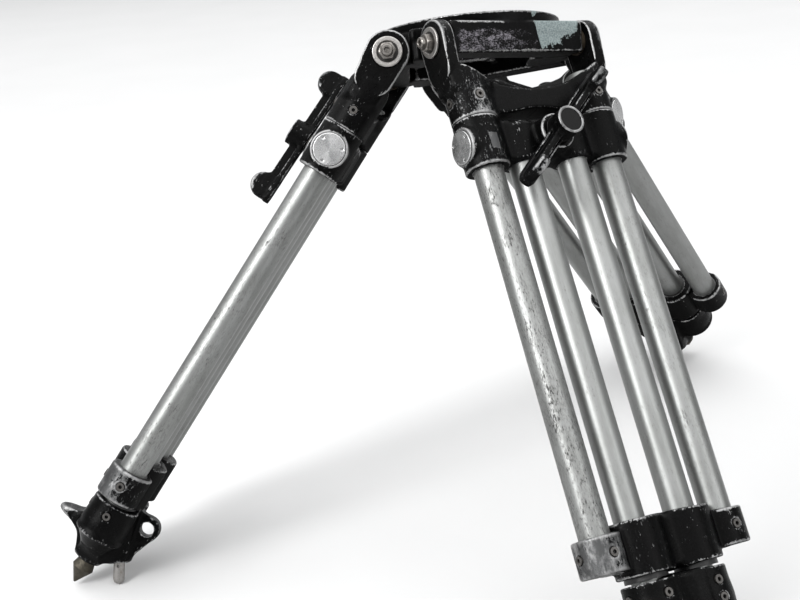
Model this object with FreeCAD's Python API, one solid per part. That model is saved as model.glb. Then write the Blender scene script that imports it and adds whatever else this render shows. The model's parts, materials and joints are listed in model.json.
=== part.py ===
import FreeCAD, Part
import math
import os
from FreeCAD import Matrix, Placement, Rotation, Vector

# Heavy-duty three-legged camera tripod, in millimetres.
# The legs are fully slid in and stand at unequal angles.
# A leg is drawn in its own frame: u along its hinge bolt, w outward, v down the leg from the hinge.
# The crown is drawn in its own frame: z up its axis, with the hinge bolts in the plane z = 0.

# Stance: name, direction of the leg round the crown, angle of the leg from the crown's axis,
# angle of its lever
LEGS = (
    ("left", 180, 37.6, -15),
    ("front", -60, 18.3, 48),
    ("back", 60, 56.1, 48),
)
HINGE_REACH = 90.7
RUNNING_GAP = 0.05
FACE_GAP = 0.3
# How far a cutting solid runs on past the face it cuts
OVERRUN = 1

# Crown
PANEL_REACH = 105
PANEL_HALF = 85
PANEL_LOW = -13
PANEL_HIGH = 20.5
BEAM_INNER = 68
NOSE_REACH = 122
NOSE_HALF = 30
DECK_LOW = 9
SEAT_RADIUS = 108
SEAT_HIGH = 32
SEAT_LOW = 22
SEAT_BORE = 37
HUB_WALL = 9
HUB_LOW = 2
RIB = 7
RIB_REACH = 90
KEYWAY_WIDTH = 8
KEYWAY_DEPTH = 5
POCKET_INNER = 64
POCKET_HALF = 107.5
POCKET_OUTER = 140

# Hinge hardware
BOLT_RADIUS = 6
BOLT_HALF = 117.5
BUSH_RADIUS = 9
BUSH_LENGTH = 22
BUSH_FLANGE_RADIUS = 15
WASHER_RADIUS = 16.5
WASHER_THICK = 3
WASHER_DISH_RADIUS = 11.5
WASHER_DISH_DEPTH = 1.6
NUT_ACROSS = 17
NUT_THICK = 8.5

# Leg tubes
TUBE_RADIUS = 16
TUBE_WALL = 2
TUBE_PLANE = -1.5
TUBE_TOP = 42
OUTER_TUBE = 77
INNER_TUBE = 31.4
SIDES = (-1, 1)

# Yoke, the forked upper casting
EAR_INNER = 88.5
EAR_OUTER = 102.5
EAR_RADIUS = 24
EAR_SET_BACK = 2
EAR_FOOT = 30
EAR_FOOT_RADIUS = 21.5
SOCKET_RADIUS = 24
SOCKET_TOP = 36
YOKE_BOTTOM = 93.2
WEB_FRONT = 15
WEB_BACK = -20
WEB_BOTTOM = 90
HOLLOW_RADIUS = 150
HOLLOW_DEPTH = 62
UNDERCUT_RADIUS = 113.5
UNDERCUT_RISE = 5
BEAM_CLEARANCE = 21.5

# Slider, the clamp casting on the outer tubes
SLIDER_TOP = YOKE_BOTTOM + FACE_GAP
SLIDER_BOTTOM = 149
SLEEVE_RADIUS = 24
INNER_SLEEVE_RADIUS = 21.5
INNER_SLEEVE_TOP = 101
INNER_SLEEVE_BOTTOM = 146
SLIDER_WEB_FRONT = 13
SLIDER_WEB_BACK = -22
SLIDER_WEB_TOP = 97
SLIDER_WEB_BOTTOM = 143
BRAKE_HEIGHT = 121.5
BRAKE_BOSS_RADIUS = 21
BRAKE_BOSS_REACH = 100.5
CAP_RADIUS = 17.8
CAP_THICK = 4
CAP_FACE = 102
CAP_HOLES = 3
CAP_HOLE_RADIUS = 1.7
CAP_HOLE_CIRCLE = 14.2
CAP_HOLE_DEPTH = 2.5
CAP_HOLE_TURN = 90
PEDESTAL_RADIUS = 20
PEDESTAL_HEIGHT = 31.5

# Lock inside the slider
SPINDLE_RADIUS = 7
SPINDLE_INNER = -16
SPINDLE_COLLAR_RADIUS = 10
SPINDLE_NECK = 4
CAM_LONG = 8.6
CAM_SHORT = 8.0
CAM_HALF = 6
SHOE_RADIUS = 11
SHOE_INNER = 49.5
SHOE_WRAP = 6
SHOE_ROD_RADIUS = 5
SHOE_ROD_END = 8.7

# Wing lever
LEVER_HALF = 88
LEVER_LOW = 34
LEVER_FLANGE = 5
LEVER_WIDTH = 17
FIN_HIGH = 49.5
FIN_THICK = 7
LOBE_RADIUS = 14.8
LOBE_HEIGHT = 49.5
LOBE_THICK = 11
BOSS_RADIUS = 15.5
BOSS_HIGH = 57.5
LEVER_CAP_RADIUS = 12.6
LEVER_CAP_THICK = 3.5
LEVER_CAP_SINK = 1

# Guide casting, the lower casting on the outer tubes
GUIDE_TOP = 537
GUIDE_BOTTOM = 573.5
GUIDE_COLLAR_RADIUS = 24.5
GUIDE_WEB_HALF = 14
GUIDE_INNER_RADIUS = 29
GUIDE_INNER_TOP = 528.5
GUIDE_INNER_BOTTOM = 582
GUIDE_BUSH_RADIUS = 19
GUIDE_LIP_RADIUS = 22
GUIDE_LIP = 5

# Foot
FOOT_TOP = 589
FOOT_COLLAR_RADIUS = 27.5
FOOT_COLLAR_BOTTOM = 632
FOOT_WEB_BOTTOM = 648
INNER_TUBE_TOP = 103
INNER_TUBE_BOTTOM = 622
EYE_PLACE = (-44, 604.4)
EYE_HOLE_RADIUS = 8.25
EYE_RADIUS = 14
EYE_HALF = 7
FOOT_WEB_BACK = -20
FOOT_WEB_FRONT = 17
BRACE_BACK = -15
BRACE_FRONT = 12
BRACE_TOP = 626
BRACE_BOTTOM = 667
HORN_HALF = 15
SPIKE_AXIS = -3
HOLDER_RADIUS = 13
HOLDER_TOP = 640
HOLDER_BOTTOM = 671
SPIKE_RADIUS = 10.5
SPIKE_WIDE = 13
SPIKE_WIDE_AT = 684
SPIKE_TIP = 703.6
SPIKE_TIP_RADIUS = 1.2
SPIKE_STEM_TOP = 655
SPIKE_STEM_BOTTOM = 675
PIN_RADIUS = 6.7
PIN_ROOT = (-35, 654)
PIN_LEAN = 30
PIN_SUNK = 14
PIN_STEM_RADIUS = 5.5
PIN_PROUD = 28
PIN_HOLE_RADIUS = 1.8
PIN_HOLE_AT = 6
PIN_PAD_RADIUS = 13

# Side view of the foot. Circles are (w, v, radius), plain points are (w, v)
EYE_TOP_ROOT = (-22, 612, 22)
EYE_LOW_ROOT = (-31, 641, 14)
HORN_TIP = (55.5, 633.5, 2.6)
HORN_WAIST = (24, 634, 9)
HORN_ROOT = (8, 655, 7)
KEEL = (
    (20, 593), (24, 626), (17, 655), (10, 668), (-16, 667), (-32, 655), (-40, 645), (-24, FOOT_TOP),
)

# Set screws
SCREW_RADIUS = 4.5
SCREW_HEX = 4
SCREW_HEX_DEPTH = 3
SCREW_PROUD = 0.8
YOKE_SCREW_HEIGHT = 72
GUIDE_SCREW_HEIGHT = 554.5
FOOT_SCREW_HEIGHT = 602.5
FOOT_LOW_SCREW_HEIGHT = 619.5

AXES = {
    "u": lambda along, a, b: Vector(along, a, b),
    "w": lambda along, a, b: Vector(a, along, b),
    "v": lambda along, a, b: Vector(a, b, along),
}


def rod(axis, radius, start, end, across=(0, 0)):
    """Cylinder along a named axis; across holds its other two coordinates, in u, w, v order."""
    point = AXES[axis](start, *across)
    return Part.makeCylinder(radius, end - start, point, AXES[axis](1, 0, 0))


def pipe(axis, radius, bore, start, end, across=(0, 0)):
    return rod(axis, radius, start, end, across).cut(rod(axis, bore, start, end, across))


def block(low, high):
    size = Vector(*high) - Vector(*low)
    return Part.makeBox(size.x, size.y, size.z, Vector(*low))


def plate(axis, start, end, outline):
    """Flat plate whose outline is a closed list of points, extruded along a named axis."""
    points = [AXES[axis](start, *point) for point in outline]
    face = Part.Face(Part.makePolygon(points + points[:1]))
    return face.extrude(AXES[axis](end - start, 0, 0))


def belt(axis, start, end, first, second):
    """Plate with the outline of a belt round two circles, each (a, b, radius)."""
    run = math.hypot(second[0] - first[0], second[1] - first[1])
    along = ((second[0] - first[0]) / run, (second[1] - first[1]) / run)
    lean = (first[2] - second[2]) / run
    square = math.sqrt(1 - lean * lean)
    outline = []
    for side, order in ((1, (first, second)), (-1, (second, first))):
        normal = (
            along[0] * lean - side * along[1] * square,
            along[1] * lean + side * along[0] * square,
        )
        outline += [(a + normal[0] * radius, b + normal[1] * radius) for a, b, radius in order]
    ends = [rod(axis, radius, start, end, (a, b)) for a, b, radius in (first, second)]
    return join([plate(axis, start, end, outline), *ends])


def hexagon(axis, across_flats, start, end, across=(0, 0)):
    corner = across_flats / math.sqrt(3)
    turns = [math.radians(60 * step) for step in range(6)]
    outline = [(across[0] + corner * math.cos(t), across[1] + corner * math.sin(t)) for t in turns]
    return plate(axis, start, end, outline)


def join(shapes):
    return shapes[0].multiFuse(shapes[1:]).removeSplitter() if len(shapes) > 1 else shapes[0]


def group(shapes):
    return Part.makeCompound(shapes)


def both(make):
    """The same solid on both sides of the leg, as a list."""
    return [make(side) for side in SIDES]


def span(side, near, far):
    """Start and end along u, in rising order, of a stretch at that distance on one side of the leg."""
    return sorted((side * near, side * far))


def tubes_at(place, radius, start, end):
    return [rod("v", radius, start, end, (side * place, TUBE_PLANE)) for side in SIDES]


# ---- Crown ----


def side_frame(direction):
    """Crown placement of a side whose r runs along X and whose hinge bolt runs along Y."""
    return Placement(Vector(), Rotation(Vector(0, 0, 1), direction))


def side_box(direction, reach, half, heights):
    solid = block((reach[0], -half, heights[0]), (reach[1], half, heights[1]))
    solid.Placement = side_frame(direction)
    return solid


def side_rod(direction, radius, start, end):
    """Cylinder on a side's hinge axis, from start to end along it."""
    solid = Part.makeCylinder(radius, end - start, Vector(HINGE_REACH, start, 0), Vector(0, 1, 0))
    solid.Placement = side_frame(direction)
    return solid


def side_corner(direction, reach, half):
    turn = math.radians(direction)
    return Vector(
        reach * math.cos(turn) - half * math.sin(turn),
        reach * math.sin(turn) + half * math.cos(turn),
        0,
    )


def crown_deck():
    order = sorted(direction for _, direction, _, _ in LEGS)
    corners = [side_corner(d, PANEL_REACH, half) for d in order for half in (-PANEL_HALF, PANEL_HALF)]
    face = Part.Face(Part.makePolygon(corners + corners[:1]))
    face.translate(Vector(0, 0, DECK_LOW))
    return face.extrude(Vector(0, 0, PANEL_HIGH - DECK_LOW))


def ear_pocket(direction, side):
    """Room for a yoke's ear, its washer and its nut at one end of a hinge beam."""
    start, end = span(side, PANEL_HALF, POCKET_HALF)
    low, high = PANEL_LOW - OVERRUN, SEAT_HIGH + OVERRUN
    solid = block((POCKET_INNER, start, low), (POCKET_OUTER, end, high))
    solid.Placement = side_frame(direction)
    return solid


def crown():
    directions = [direction for _, direction, _, _ in LEGS]
    beams = [
        side_box(d, (BEAM_INNER, PANEL_REACH), PANEL_HALF, (PANEL_LOW, PANEL_HIGH)) for d in directions
    ]
    noses = [
        side_box(d + 180, (BEAM_INNER, NOSE_REACH), NOSE_HALF, (PANEL_LOW, PANEL_HIGH)) for d in directions
    ]
    hub = Part.makeCylinder(SEAT_BORE + HUB_WALL, SEAT_LOW - HUB_LOW, Vector(0, 0, HUB_LOW))
    seat = Part.makeCone(PANEL_REACH, SEAT_RADIUS, SEAT_HIGH - PANEL_HIGH, Vector(0, 0, PANEL_HIGH))
    shell = join([crown_deck(), seat, *beams, *noses])
    room = Part.makeCylinder(BEAM_INNER, SEAT_LOW - DECK_LOW, Vector(0, 0, DECK_LOW))
    ribs = [side_box(d + turn, (SEAT_BORE, reach), RIB / 2, (HUB_LOW, SEAT_LOW))
            for d in directions for turn, reach in ((0, BEAM_INNER + OVERRUN), (60, RIB_REACH))]
    solid = join([shell.cut(room), hub, *ribs])
    bore = Part.makeCylinder(SEAT_BORE, SEAT_HIGH - HUB_LOW, Vector(0, 0, HUB_LOW))
    keyway = block(
        (-KEYWAY_WIDTH / 2, SEAT_BORE - OVERRUN, SEAT_HIGH - KEYWAY_DEPTH),
        (KEYWAY_WIDTH / 2, SEAT_RADIUS + OVERRUN, SEAT_HIGH),
    )
    bolts = [side_rod(d, BOLT_RADIUS, -PANEL_HALF, PANEL_HALF) for d in directions]
    bushes = [side_rod(d, BUSH_RADIUS, *span(side, PANEL_HALF - BUSH_LENGTH, PANEL_HALF))
              for d in directions for side in SIDES]
    pockets = [ear_pocket(d, side) for d in directions for side in SIDES]
    return solid.cut([bore, keyway, *bolts, *bushes, *pockets])


def hinge_bolts():
    return group([side_rod(d, BOLT_RADIUS, -BOLT_HALF, BOLT_HALF) for _, d, _, _ in LEGS])


def hinge_bush(direction, side):
    """Flanged bush pressed into the end of a hinge beam."""
    face = EAR_INNER - FACE_GAP
    sleeve = side_rod(direction, BUSH_RADIUS, *span(side, PANEL_HALF - BUSH_LENGTH, PANEL_HALF))
    flange = side_rod(direction, BUSH_FLANGE_RADIUS, *span(side, PANEL_HALF, face))
    hole = side_rod(direction, BOLT_RADIUS, *span(side, PANEL_HALF - BUSH_LENGTH, face))
    return join([sleeve, flange]).cut(hole)


def hinge_washer(direction, side):
    """Thick washer, dished on its outer face round the nut."""
    inner = EAR_OUTER + FACE_GAP
    outer = inner + WASHER_THICK
    disc = side_rod(direction, WASHER_RADIUS, *span(side, inner, outer))
    dish = side_rod(direction, WASHER_DISH_RADIUS, *span(side, outer - WASHER_DISH_DEPTH, outer))
    return disc.cut([dish, side_rod(direction, BOLT_RADIUS, *span(side, inner, outer))])


def hinge_nut(direction, side):
    inner = EAR_OUTER + FACE_GAP + WASHER_THICK - WASHER_DISH_DEPTH
    start, end = span(side, inner, inner + NUT_THICK)
    corner = NUT_ACROSS / math.sqrt(3)
    turns = [math.radians(60 * step) for step in range(6)]
    points = [Vector(HINGE_REACH + corner * math.cos(t), start, corner * math.sin(t)) for t in turns]
    nut = Part.Face(Part.makePolygon(points + points[:1])).extrude(Vector(0, end - start, 0))
    nut.Placement = side_frame(direction)
    return nut.cut(side_rod(direction, BOLT_RADIUS, start, end))


def at_hinges(make):
    return group([make(direction, side) for _, direction, _, _ in LEGS for side in SIDES])


# ---- Set screws ----


def front_screw(u, v, face):
    """Socket set screw that enters a tube casting from the front, down to the tube."""
    start = TUBE_PLANE + TUBE_RADIUS
    end = TUBE_PLANE + face + SCREW_PROUD
    body = rod("w", SCREW_RADIUS, start, end, (u, v))
    return body.cut(hexagon("w", SCREW_HEX, end - SCREW_HEX_DEPTH, end, (u, v)))


def side_screw(side, place, v, face):
    """The same screw from the side of the leg, outside the tube at that place."""
    start = place + TUBE_RADIUS
    end = place + face + SCREW_PROUD
    body = rod("u", SCREW_RADIUS, *span(side, start, end), (TUBE_PLANE, v))
    socket = hexagon("u", SCREW_HEX, *span(side, end - SCREW_HEX_DEPTH, end), (TUBE_PLANE, v))
    return body.cut(socket)


def screw_seats(place, heights, face):
    """Plain holes for the front and side screws of one pair of tubes."""
    reach = face + SCREW_PROUD
    front = [rod("w", SCREW_RADIUS, TUBE_PLANE, TUBE_PLANE + reach, (side * place, v))
             for side in SIDES for v in heights]
    flank = [rod("u", SCREW_RADIUS, *span(side, place, place + reach), (TUBE_PLANE, heights[0]))
             for side in SIDES]
    return front + flank


def tube_screws():
    screws = []
    for height, face in (
        (YOKE_SCREW_HEIGHT, SOCKET_RADIUS),
        (GUIDE_SCREW_HEIGHT, GUIDE_COLLAR_RADIUS),
    ):
        screws += both(lambda side: front_screw(side * OUTER_TUBE, height, face))
        screws += both(lambda side: side_screw(side, OUTER_TUBE, height, face))
    return group(screws)


def inner_tube_screws():
    screws = both(lambda side: side_screw(side, INNER_TUBE, FOOT_SCREW_HEIGHT, FOOT_COLLAR_RADIUS))
    for height in (FOOT_SCREW_HEIGHT, FOOT_LOW_SCREW_HEIGHT):
        screws += both(lambda side: front_screw(side * INNER_TUBE, height, FOOT_COLLAR_RADIUS))
    return group(screws)


# ---- Upper section of a leg: it swings on the hinge bolt ----


def yoke():
    ears = both(lambda side: belt(
        "u", *span(side, EAR_INNER, EAR_OUTER),
        (0, 0, EAR_RADIUS), (-EAR_SET_BACK, EAR_FOOT, EAR_FOOT_RADIUS),
    ))
    sockets = tubes_at(OUTER_TUBE, SOCKET_RADIUS, SOCKET_TOP, YOKE_BOTTOM)
    shoulders = []
    for side in SIDES:
        inner, outer = span(side, OUTER_TUBE - SOCKET_RADIUS, EAR_OUTER)
        shoulders.append(block((inner, WEB_BACK, 0), (outer, WEB_FRONT, SOCKET_TOP + SOCKET_RADIUS)))
    web = block((-OUTER_TUBE, WEB_BACK, 0), (OUTER_TUBE, WEB_FRONT, WEB_BOTTOM))
    beam_room = rod("u", BEAM_CLEARANCE, -EAR_INNER, EAR_INNER)
    body = join([*sockets, *shoulders, web]).cut([*yoke_arches(), beam_room])
    body = join([body, *ears])
    tube_holes = tubes_at(OUTER_TUBE, TUBE_RADIUS, TUBE_TOP, YOKE_BOTTOM)
    bolt_hole = rod("u", BOLT_RADIUS + RUNNING_GAP, -EAR_OUTER, EAR_OUTER)
    seats = screw_seats(OUTER_TUBE, (YOKE_SCREW_HEIGHT,), SOCKET_RADIUS)
    return body.cut([bolt_hole, *tube_holes, *seats])


def yoke_arches():
    """The hollow of the web towards the crown, and its shallow undercut between the sockets."""
    back, front = WEB_BACK - EAR_RADIUS, WEB_FRONT + EAR_RADIUS
    hollow = rod("w", HOLLOW_RADIUS, back, front, (0, HOLLOW_DEPTH - HOLLOW_RADIUS))
    hollow = hollow.common(block((-EAR_INNER, back, -HOLLOW_RADIUS), (EAR_INNER, front, HOLLOW_DEPTH)))
    undercut = rod("w", UNDERCUT_RADIUS, back, front, (0, WEB_BOTTOM - UNDERCUT_RISE + UNDERCUT_RADIUS))
    room = OUTER_TUBE - SOCKET_RADIUS
    undercut = undercut.common(block((-room, back, HOLLOW_DEPTH), (room, front, UNDERCUT_RADIUS)))
    return [hollow, undercut]


def outer_tubes():
    bore = TUBE_RADIUS - TUBE_WALL
    return group(both(
        lambda side: pipe("v", TUBE_RADIUS, bore, TUBE_TOP, GUIDE_BOTTOM, (side * OUTER_TUBE, TUBE_PLANE))
    ))


def guide_casting():
    collars = tubes_at(OUTER_TUBE, GUIDE_COLLAR_RADIUS, GUIDE_TOP, GUIDE_BOTTOM)
    inner = tubes_at(INNER_TUBE, GUIDE_INNER_RADIUS, GUIDE_INNER_TOP, GUIDE_INNER_BOTTOM)
    back, front = TUBE_PLANE - GUIDE_WEB_HALF, TUBE_PLANE + GUIDE_WEB_HALF
    web = block((-OUTER_TUBE, back, GUIDE_TOP), (OUTER_TUBE, front, GUIDE_BOTTOM))
    holes = tubes_at(OUTER_TUBE, TUBE_RADIUS, GUIDE_TOP, GUIDE_BOTTOM)
    bush_seats = tubes_at(INNER_TUBE, GUIDE_BUSH_RADIUS, GUIDE_INNER_TOP, GUIDE_INNER_BOTTOM)
    seats = screw_seats(OUTER_TUBE, (GUIDE_SCREW_HEIGHT,), GUIDE_COLLAR_RADIUS)
    return join([*collars, *inner, web]).cut([*holes, *bush_seats, *seats])


def guide_bushes():
    """Flanged plastic bushes that the inner tubes run in."""
    bushes = []
    low = GUIDE_INNER_BOTTOM + GUIDE_LIP
    for side in SIDES:
        across = (side * INNER_TUBE, TUBE_PLANE)
        sleeve = rod("v", GUIDE_BUSH_RADIUS, GUIDE_INNER_TOP, GUIDE_INNER_BOTTOM, across)
        lip = rod("v", GUIDE_LIP_RADIUS, GUIDE_INNER_BOTTOM, low, across)
        hole = rod("v", TUBE_RADIUS + RUNNING_GAP, GUIDE_INNER_TOP, low, across)
        bushes.append(join([sleeve, lip]).cut(hole))
    return group(bushes)


# ---- Lower section of a leg: it slides on the outer tubes ----


def slider():
    brakes = (TUBE_PLANE, BRAKE_HEIGHT)
    sleeves = tubes_at(OUTER_TUBE, SLEEVE_RADIUS, SLIDER_TOP, SLIDER_BOTTOM)
    bosses = both(lambda side: rod(
        "u", BRAKE_BOSS_RADIUS, *span(side, OUTER_TUBE, BRAKE_BOSS_REACH), brakes
    ))
    inner = tubes_at(INNER_TUBE, INNER_SLEEVE_RADIUS, INNER_SLEEVE_TOP, INNER_SLEEVE_BOTTOM)
    web = block(
        (-OUTER_TUBE, SLIDER_WEB_BACK, SLIDER_WEB_TOP),
        (OUTER_TUBE, SLIDER_WEB_FRONT, SLIDER_WEB_BOTTOM),
    )
    pedestal = rod("w", PEDESTAL_RADIUS, SLIDER_WEB_BACK, PEDESTAL_HEIGHT, (0, BRAKE_HEIGHT))
    body = join([*sleeves, *bosses, *inner, web, pedestal])
    guides = tubes_at(OUTER_TUBE, TUBE_RADIUS + RUNNING_GAP, SLIDER_TOP, SLIDER_BOTTOM)
    sockets = tubes_at(INNER_TUBE, TUBE_RADIUS, INNER_TUBE_TOP, INNER_SLEEVE_BOTTOM)
    cap_seats = both(lambda side: rod(
        "u", CAP_RADIUS, *span(side, CAP_FACE - CAP_THICK, CAP_FACE), brakes
    ))
    cross_bores = both(lambda side: rod(
        "u", SHOE_RADIUS + 2 * RUNNING_GAP, *span(side, SHOE_INNER - OVERRUN, CAP_FACE), brakes
    ))
    rod_bore = rod("u", SHOE_ROD_RADIUS + 2 * RUNNING_GAP, -SHOE_INNER, SHOE_INNER, brakes)
    spindle_bore = rod(
        "w", SPINDLE_COLLAR_RADIUS + 2 * RUNNING_GAP,
        SPINDLE_INNER - FACE_GAP, PEDESTAL_HEIGHT, (0, BRAKE_HEIGHT),
    )
    return body.cut([*guides, *sockets, *cap_seats, *cross_bores, rod_bore, spindle_bore])


def inner_tubes():
    cross_hole = rod(
        "u", SHOE_ROD_RADIUS + 4 * FACE_GAP, -OUTER_TUBE, OUTER_TUBE, (TUBE_PLANE, BRAKE_HEIGHT)
    )
    return group([
        pipe(
            "v", TUBE_RADIUS, TUBE_RADIUS - TUBE_WALL, INNER_TUBE_TOP, INNER_TUBE_BOTTOM,
            (side * INNER_TUBE, TUBE_PLANE),
        ).cut(cross_hole)
        for side in SIDES
    ])


def brake_cap(side):
    """Turned cap with three spanner holes, screwed into the end of a brake bore."""
    inner = CAP_FACE - CAP_THICK
    cap = rod("u", CAP_RADIUS, *span(side, inner, CAP_FACE), (TUBE_PLANE, BRAKE_HEIGHT))
    holes = []
    for step in range(CAP_HOLES):
        turn = math.radians(360 * step / CAP_HOLES + CAP_HOLE_TURN)
        across = (
            TUBE_PLANE + CAP_HOLE_CIRCLE * math.cos(turn),
            BRAKE_HEIGHT + CAP_HOLE_CIRCLE * math.sin(turn),
        )
        holes.append(rod("u", CAP_HOLE_RADIUS, *span(side, CAP_FACE - CAP_HOLE_DEPTH, CAP_FACE), across))
    return cap.cut(holes)


def brake_shoe(side):
    """Shoe with a hollow face that fits the outer tube, on a push rod that reaches in to the cam."""
    across = (TUBE_PLANE, BRAKE_HEIGHT)
    reach = OUTER_TUBE - TUBE_RADIUS + SHOE_WRAP
    shoe = rod("u", SHOE_RADIUS, *span(side, SHOE_INNER, reach), across)
    push_rod = rod("u", SHOE_ROD_RADIUS, *span(side, SHOE_ROD_END, SHOE_INNER), across)
    tube = rod(
        "v", TUBE_RADIUS + RUNNING_GAP,
        BRAKE_HEIGHT - 2 * SHOE_RADIUS, BRAKE_HEIGHT + 2 * SHOE_RADIUS, (side * OUTER_TUBE, TUBE_PLANE),
    )
    return join([shoe, push_rod]).cut(tube)


def lock_spindle(angle):
    """Spindle with an oval cam between the two push rods, and a hexagon turned as its lever is."""
    centre = (0, BRAKE_HEIGHT)
    low, high = TUBE_PLANE - CAM_HALF, TUBE_PLANE + CAM_HALF
    ellipse = Part.Ellipse(Vector(0, 0, 0), CAM_LONG, CAM_SHORT).toShape()
    cam = Part.Face(Part.Wire(ellipse)).extrude(Vector(0, 0, high - low))
    cam.Placement = Placement(Vector(0, low, BRAKE_HEIGHT), Rotation(Vector(1, 0, 0), -90))
    tail = rod("w", SPINDLE_RADIUS, SPINDLE_INNER, low, centre)
    neck = rod("w", SPINDLE_RADIUS, high, high + SPINDLE_NECK, centre)
    collar = rod("w", SPINDLE_COLLAR_RADIUS, high + SPINDLE_NECK, PEDESTAL_HEIGHT, centre)
    shank = turned(hexagon("w", SPINDLE_RADIUS * 2, PEDESTAL_HEIGHT, FIN_HIGH, centre), -angle)
    return join([tail, cam, neck, collar, shank])


def turned(shape, angle):
    """A lever piece turned about the lock spindle, in the sense of the leg's w axis."""
    shape.rotate(Vector(0, 0, BRAKE_HEIGHT), Vector(0, 1, 0), angle)
    return shape


def lever(angle):
    """Wing lever: flange, upright fin, round boss and a round lobe at each end."""
    tip = LEVER_HALF - LEVER_WIDTH / 2
    flange = belt(
        "w", LEVER_LOW, LEVER_LOW + LEVER_FLANGE,
        (0, BRAKE_HEIGHT - tip, LEVER_WIDTH / 2), (0, BRAKE_HEIGHT + tip, LEVER_WIDTH / 2),
    )
    lobe_at = LEVER_HALF - LOBE_RADIUS
    fin = block(
        (-FIN_THICK / 2, LEVER_LOW, BRAKE_HEIGHT - lobe_at),
        (FIN_THICK / 2, FIN_HIGH, BRAKE_HEIGHT + lobe_at),
    )
    lobes = []
    for side in SIDES:
        middle = BRAKE_HEIGHT + side * lobe_at
        disc = rod("u", LOBE_RADIUS, -LOBE_THICK / 2, LOBE_THICK / 2, (LOBE_HEIGHT, middle))
        root = block(
            (-LOBE_THICK / 2, LEVER_LOW, middle - LOBE_RADIUS),
            (LOBE_THICK / 2, LOBE_HEIGHT, middle + LOBE_RADIUS),
        )
        lobes += [disc, root]
    boss = rod("w", BOSS_RADIUS, LEVER_LOW, BOSS_HIGH, (0, BRAKE_HEIGHT))
    body = join([flange, fin, *lobes, boss])
    socket = hexagon("w", SPINDLE_RADIUS * 2, LEVER_LOW, FIN_HIGH, (0, BRAKE_HEIGHT))
    recess_low = BOSS_HIGH - LEVER_CAP_SINK - LEVER_CAP_THICK
    recess = rod("w", LEVER_CAP_RADIUS, recess_low, BOSS_HIGH, (0, BRAKE_HEIGHT))
    return turned(body.cut([socket, recess]), -angle)


def lever_cap(angle):
    """Plain round cap, slightly domed, in the lever's boss."""
    high = BOSS_HIGH - LEVER_CAP_SINK
    cap = rod("w", LEVER_CAP_RADIUS, high - LEVER_CAP_THICK, high, (0, BRAKE_HEIGHT))
    return turned(cap, -angle)


def foot_casting():
    collars = tubes_at(INNER_TUBE, FOOT_COLLAR_RADIUS, FOOT_TOP, FOOT_COLLAR_BOTTOM)
    floors = [
        Part.makeCone(
            FOOT_COLLAR_RADIUS, HOLDER_RADIUS, FOOT_WEB_BOTTOM - FOOT_COLLAR_BOTTOM,
            Vector(side * INNER_TUBE, TUBE_PLANE, FOOT_COLLAR_BOTTOM),
        )
        for side in SIDES
    ]
    web = block((-INNER_TUBE, FOOT_WEB_BACK, FOOT_TOP), (INNER_TUBE, FOOT_WEB_FRONT, FOOT_COLLAR_BOTTOM))
    brace = plate("w", BRACE_BACK, BRACE_FRONT, [
        (-INNER_TUBE, BRACE_TOP), (INNER_TUBE, BRACE_TOP),
        (INNER_TUBE, FOOT_WEB_BOTTOM), (HOLDER_RADIUS, BRACE_BOTTOM),
        (-HOLDER_RADIUS, BRACE_BOTTOM), (-INNER_TUBE, FOOT_WEB_BOTTOM),
    ])
    keel = plate("u", -HOLDER_RADIUS, HOLDER_RADIUS, KEEL)
    eye_end = (*EYE_PLACE, EYE_RADIUS)
    eye = [belt("u", -EYE_HALF, EYE_HALF, eye_end, root) for root in (EYE_TOP_ROOT, EYE_LOW_ROOT)]
    holder = rod("v", HOLDER_RADIUS, HOLDER_TOP, HOLDER_BOTTOM, (0, SPIKE_AXIS))
    pad = leaning(Part.makeCylinder(PIN_PAD_RADIUS, PIN_SUNK))
    body = join([*collars, *floors, web, brace, keel, *eye, *horn(), holder, pad])
    tube_holes = tubes_at(INNER_TUBE, TUBE_RADIUS, FOOT_TOP, INNER_TUBE_BOTTOM)
    eye_hole = rod("u", EYE_HOLE_RADIUS, -FOOT_COLLAR_RADIUS, FOOT_COLLAR_RADIUS, EYE_PLACE)
    spike_hole = rod("v", SPIKE_RADIUS, SPIKE_STEM_TOP, HOLDER_BOTTOM, (0, SPIKE_AXIS))
    pin_hole = leaning(Part.makeCylinder(PIN_STEM_RADIUS, PIN_SUNK))
    spot_face = leaning(Part.makeCylinder(PIN_PAD_RADIUS, PIN_PROUD, Vector(0, 0, PIN_SUNK)))
    seats = screw_seats(INNER_TUBE, (FOOT_SCREW_HEIGHT, FOOT_LOW_SCREW_HEIGHT), FOOT_COLLAR_RADIUS)
    return body.cut([*tube_holes, eye_hole, spike_hole, pin_hole, spot_face, *seats])


def horn():
    """Spur on the front of the foot, with a round end when seen along the leg."""
    spur = belt("u", -HORN_HALF, HORN_HALF, HORN_TIP, HORN_WAIST)
    round_end = (0, HORN_TIP[0] + HORN_TIP[2] - HORN_HALF, HORN_HALF)
    plan = belt("v", FOOT_TOP, HOLDER_BOTTOM, (0, 0, HORN_HALF + HORN_TIP[2]), round_end)
    return [spur.common(plan), belt("u", -HOLDER_RADIUS, HOLDER_RADIUS, HORN_WAIST, HORN_ROOT)]


def leaning(shape):
    """Puts a shape made along +Z on the spreader pin's axis, its origin at the pin's sunk end."""
    shape.rotate(Vector(0, 0, 0), Vector(1, 0, 0), PIN_LEAN)
    shape.translate(Vector(0, *PIN_ROOT) - pin_direction() * PIN_SUNK)
    return shape


def pin_direction():
    lean = math.radians(PIN_LEAN)
    return Vector(0, -math.sin(lean), math.cos(lean))


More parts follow.
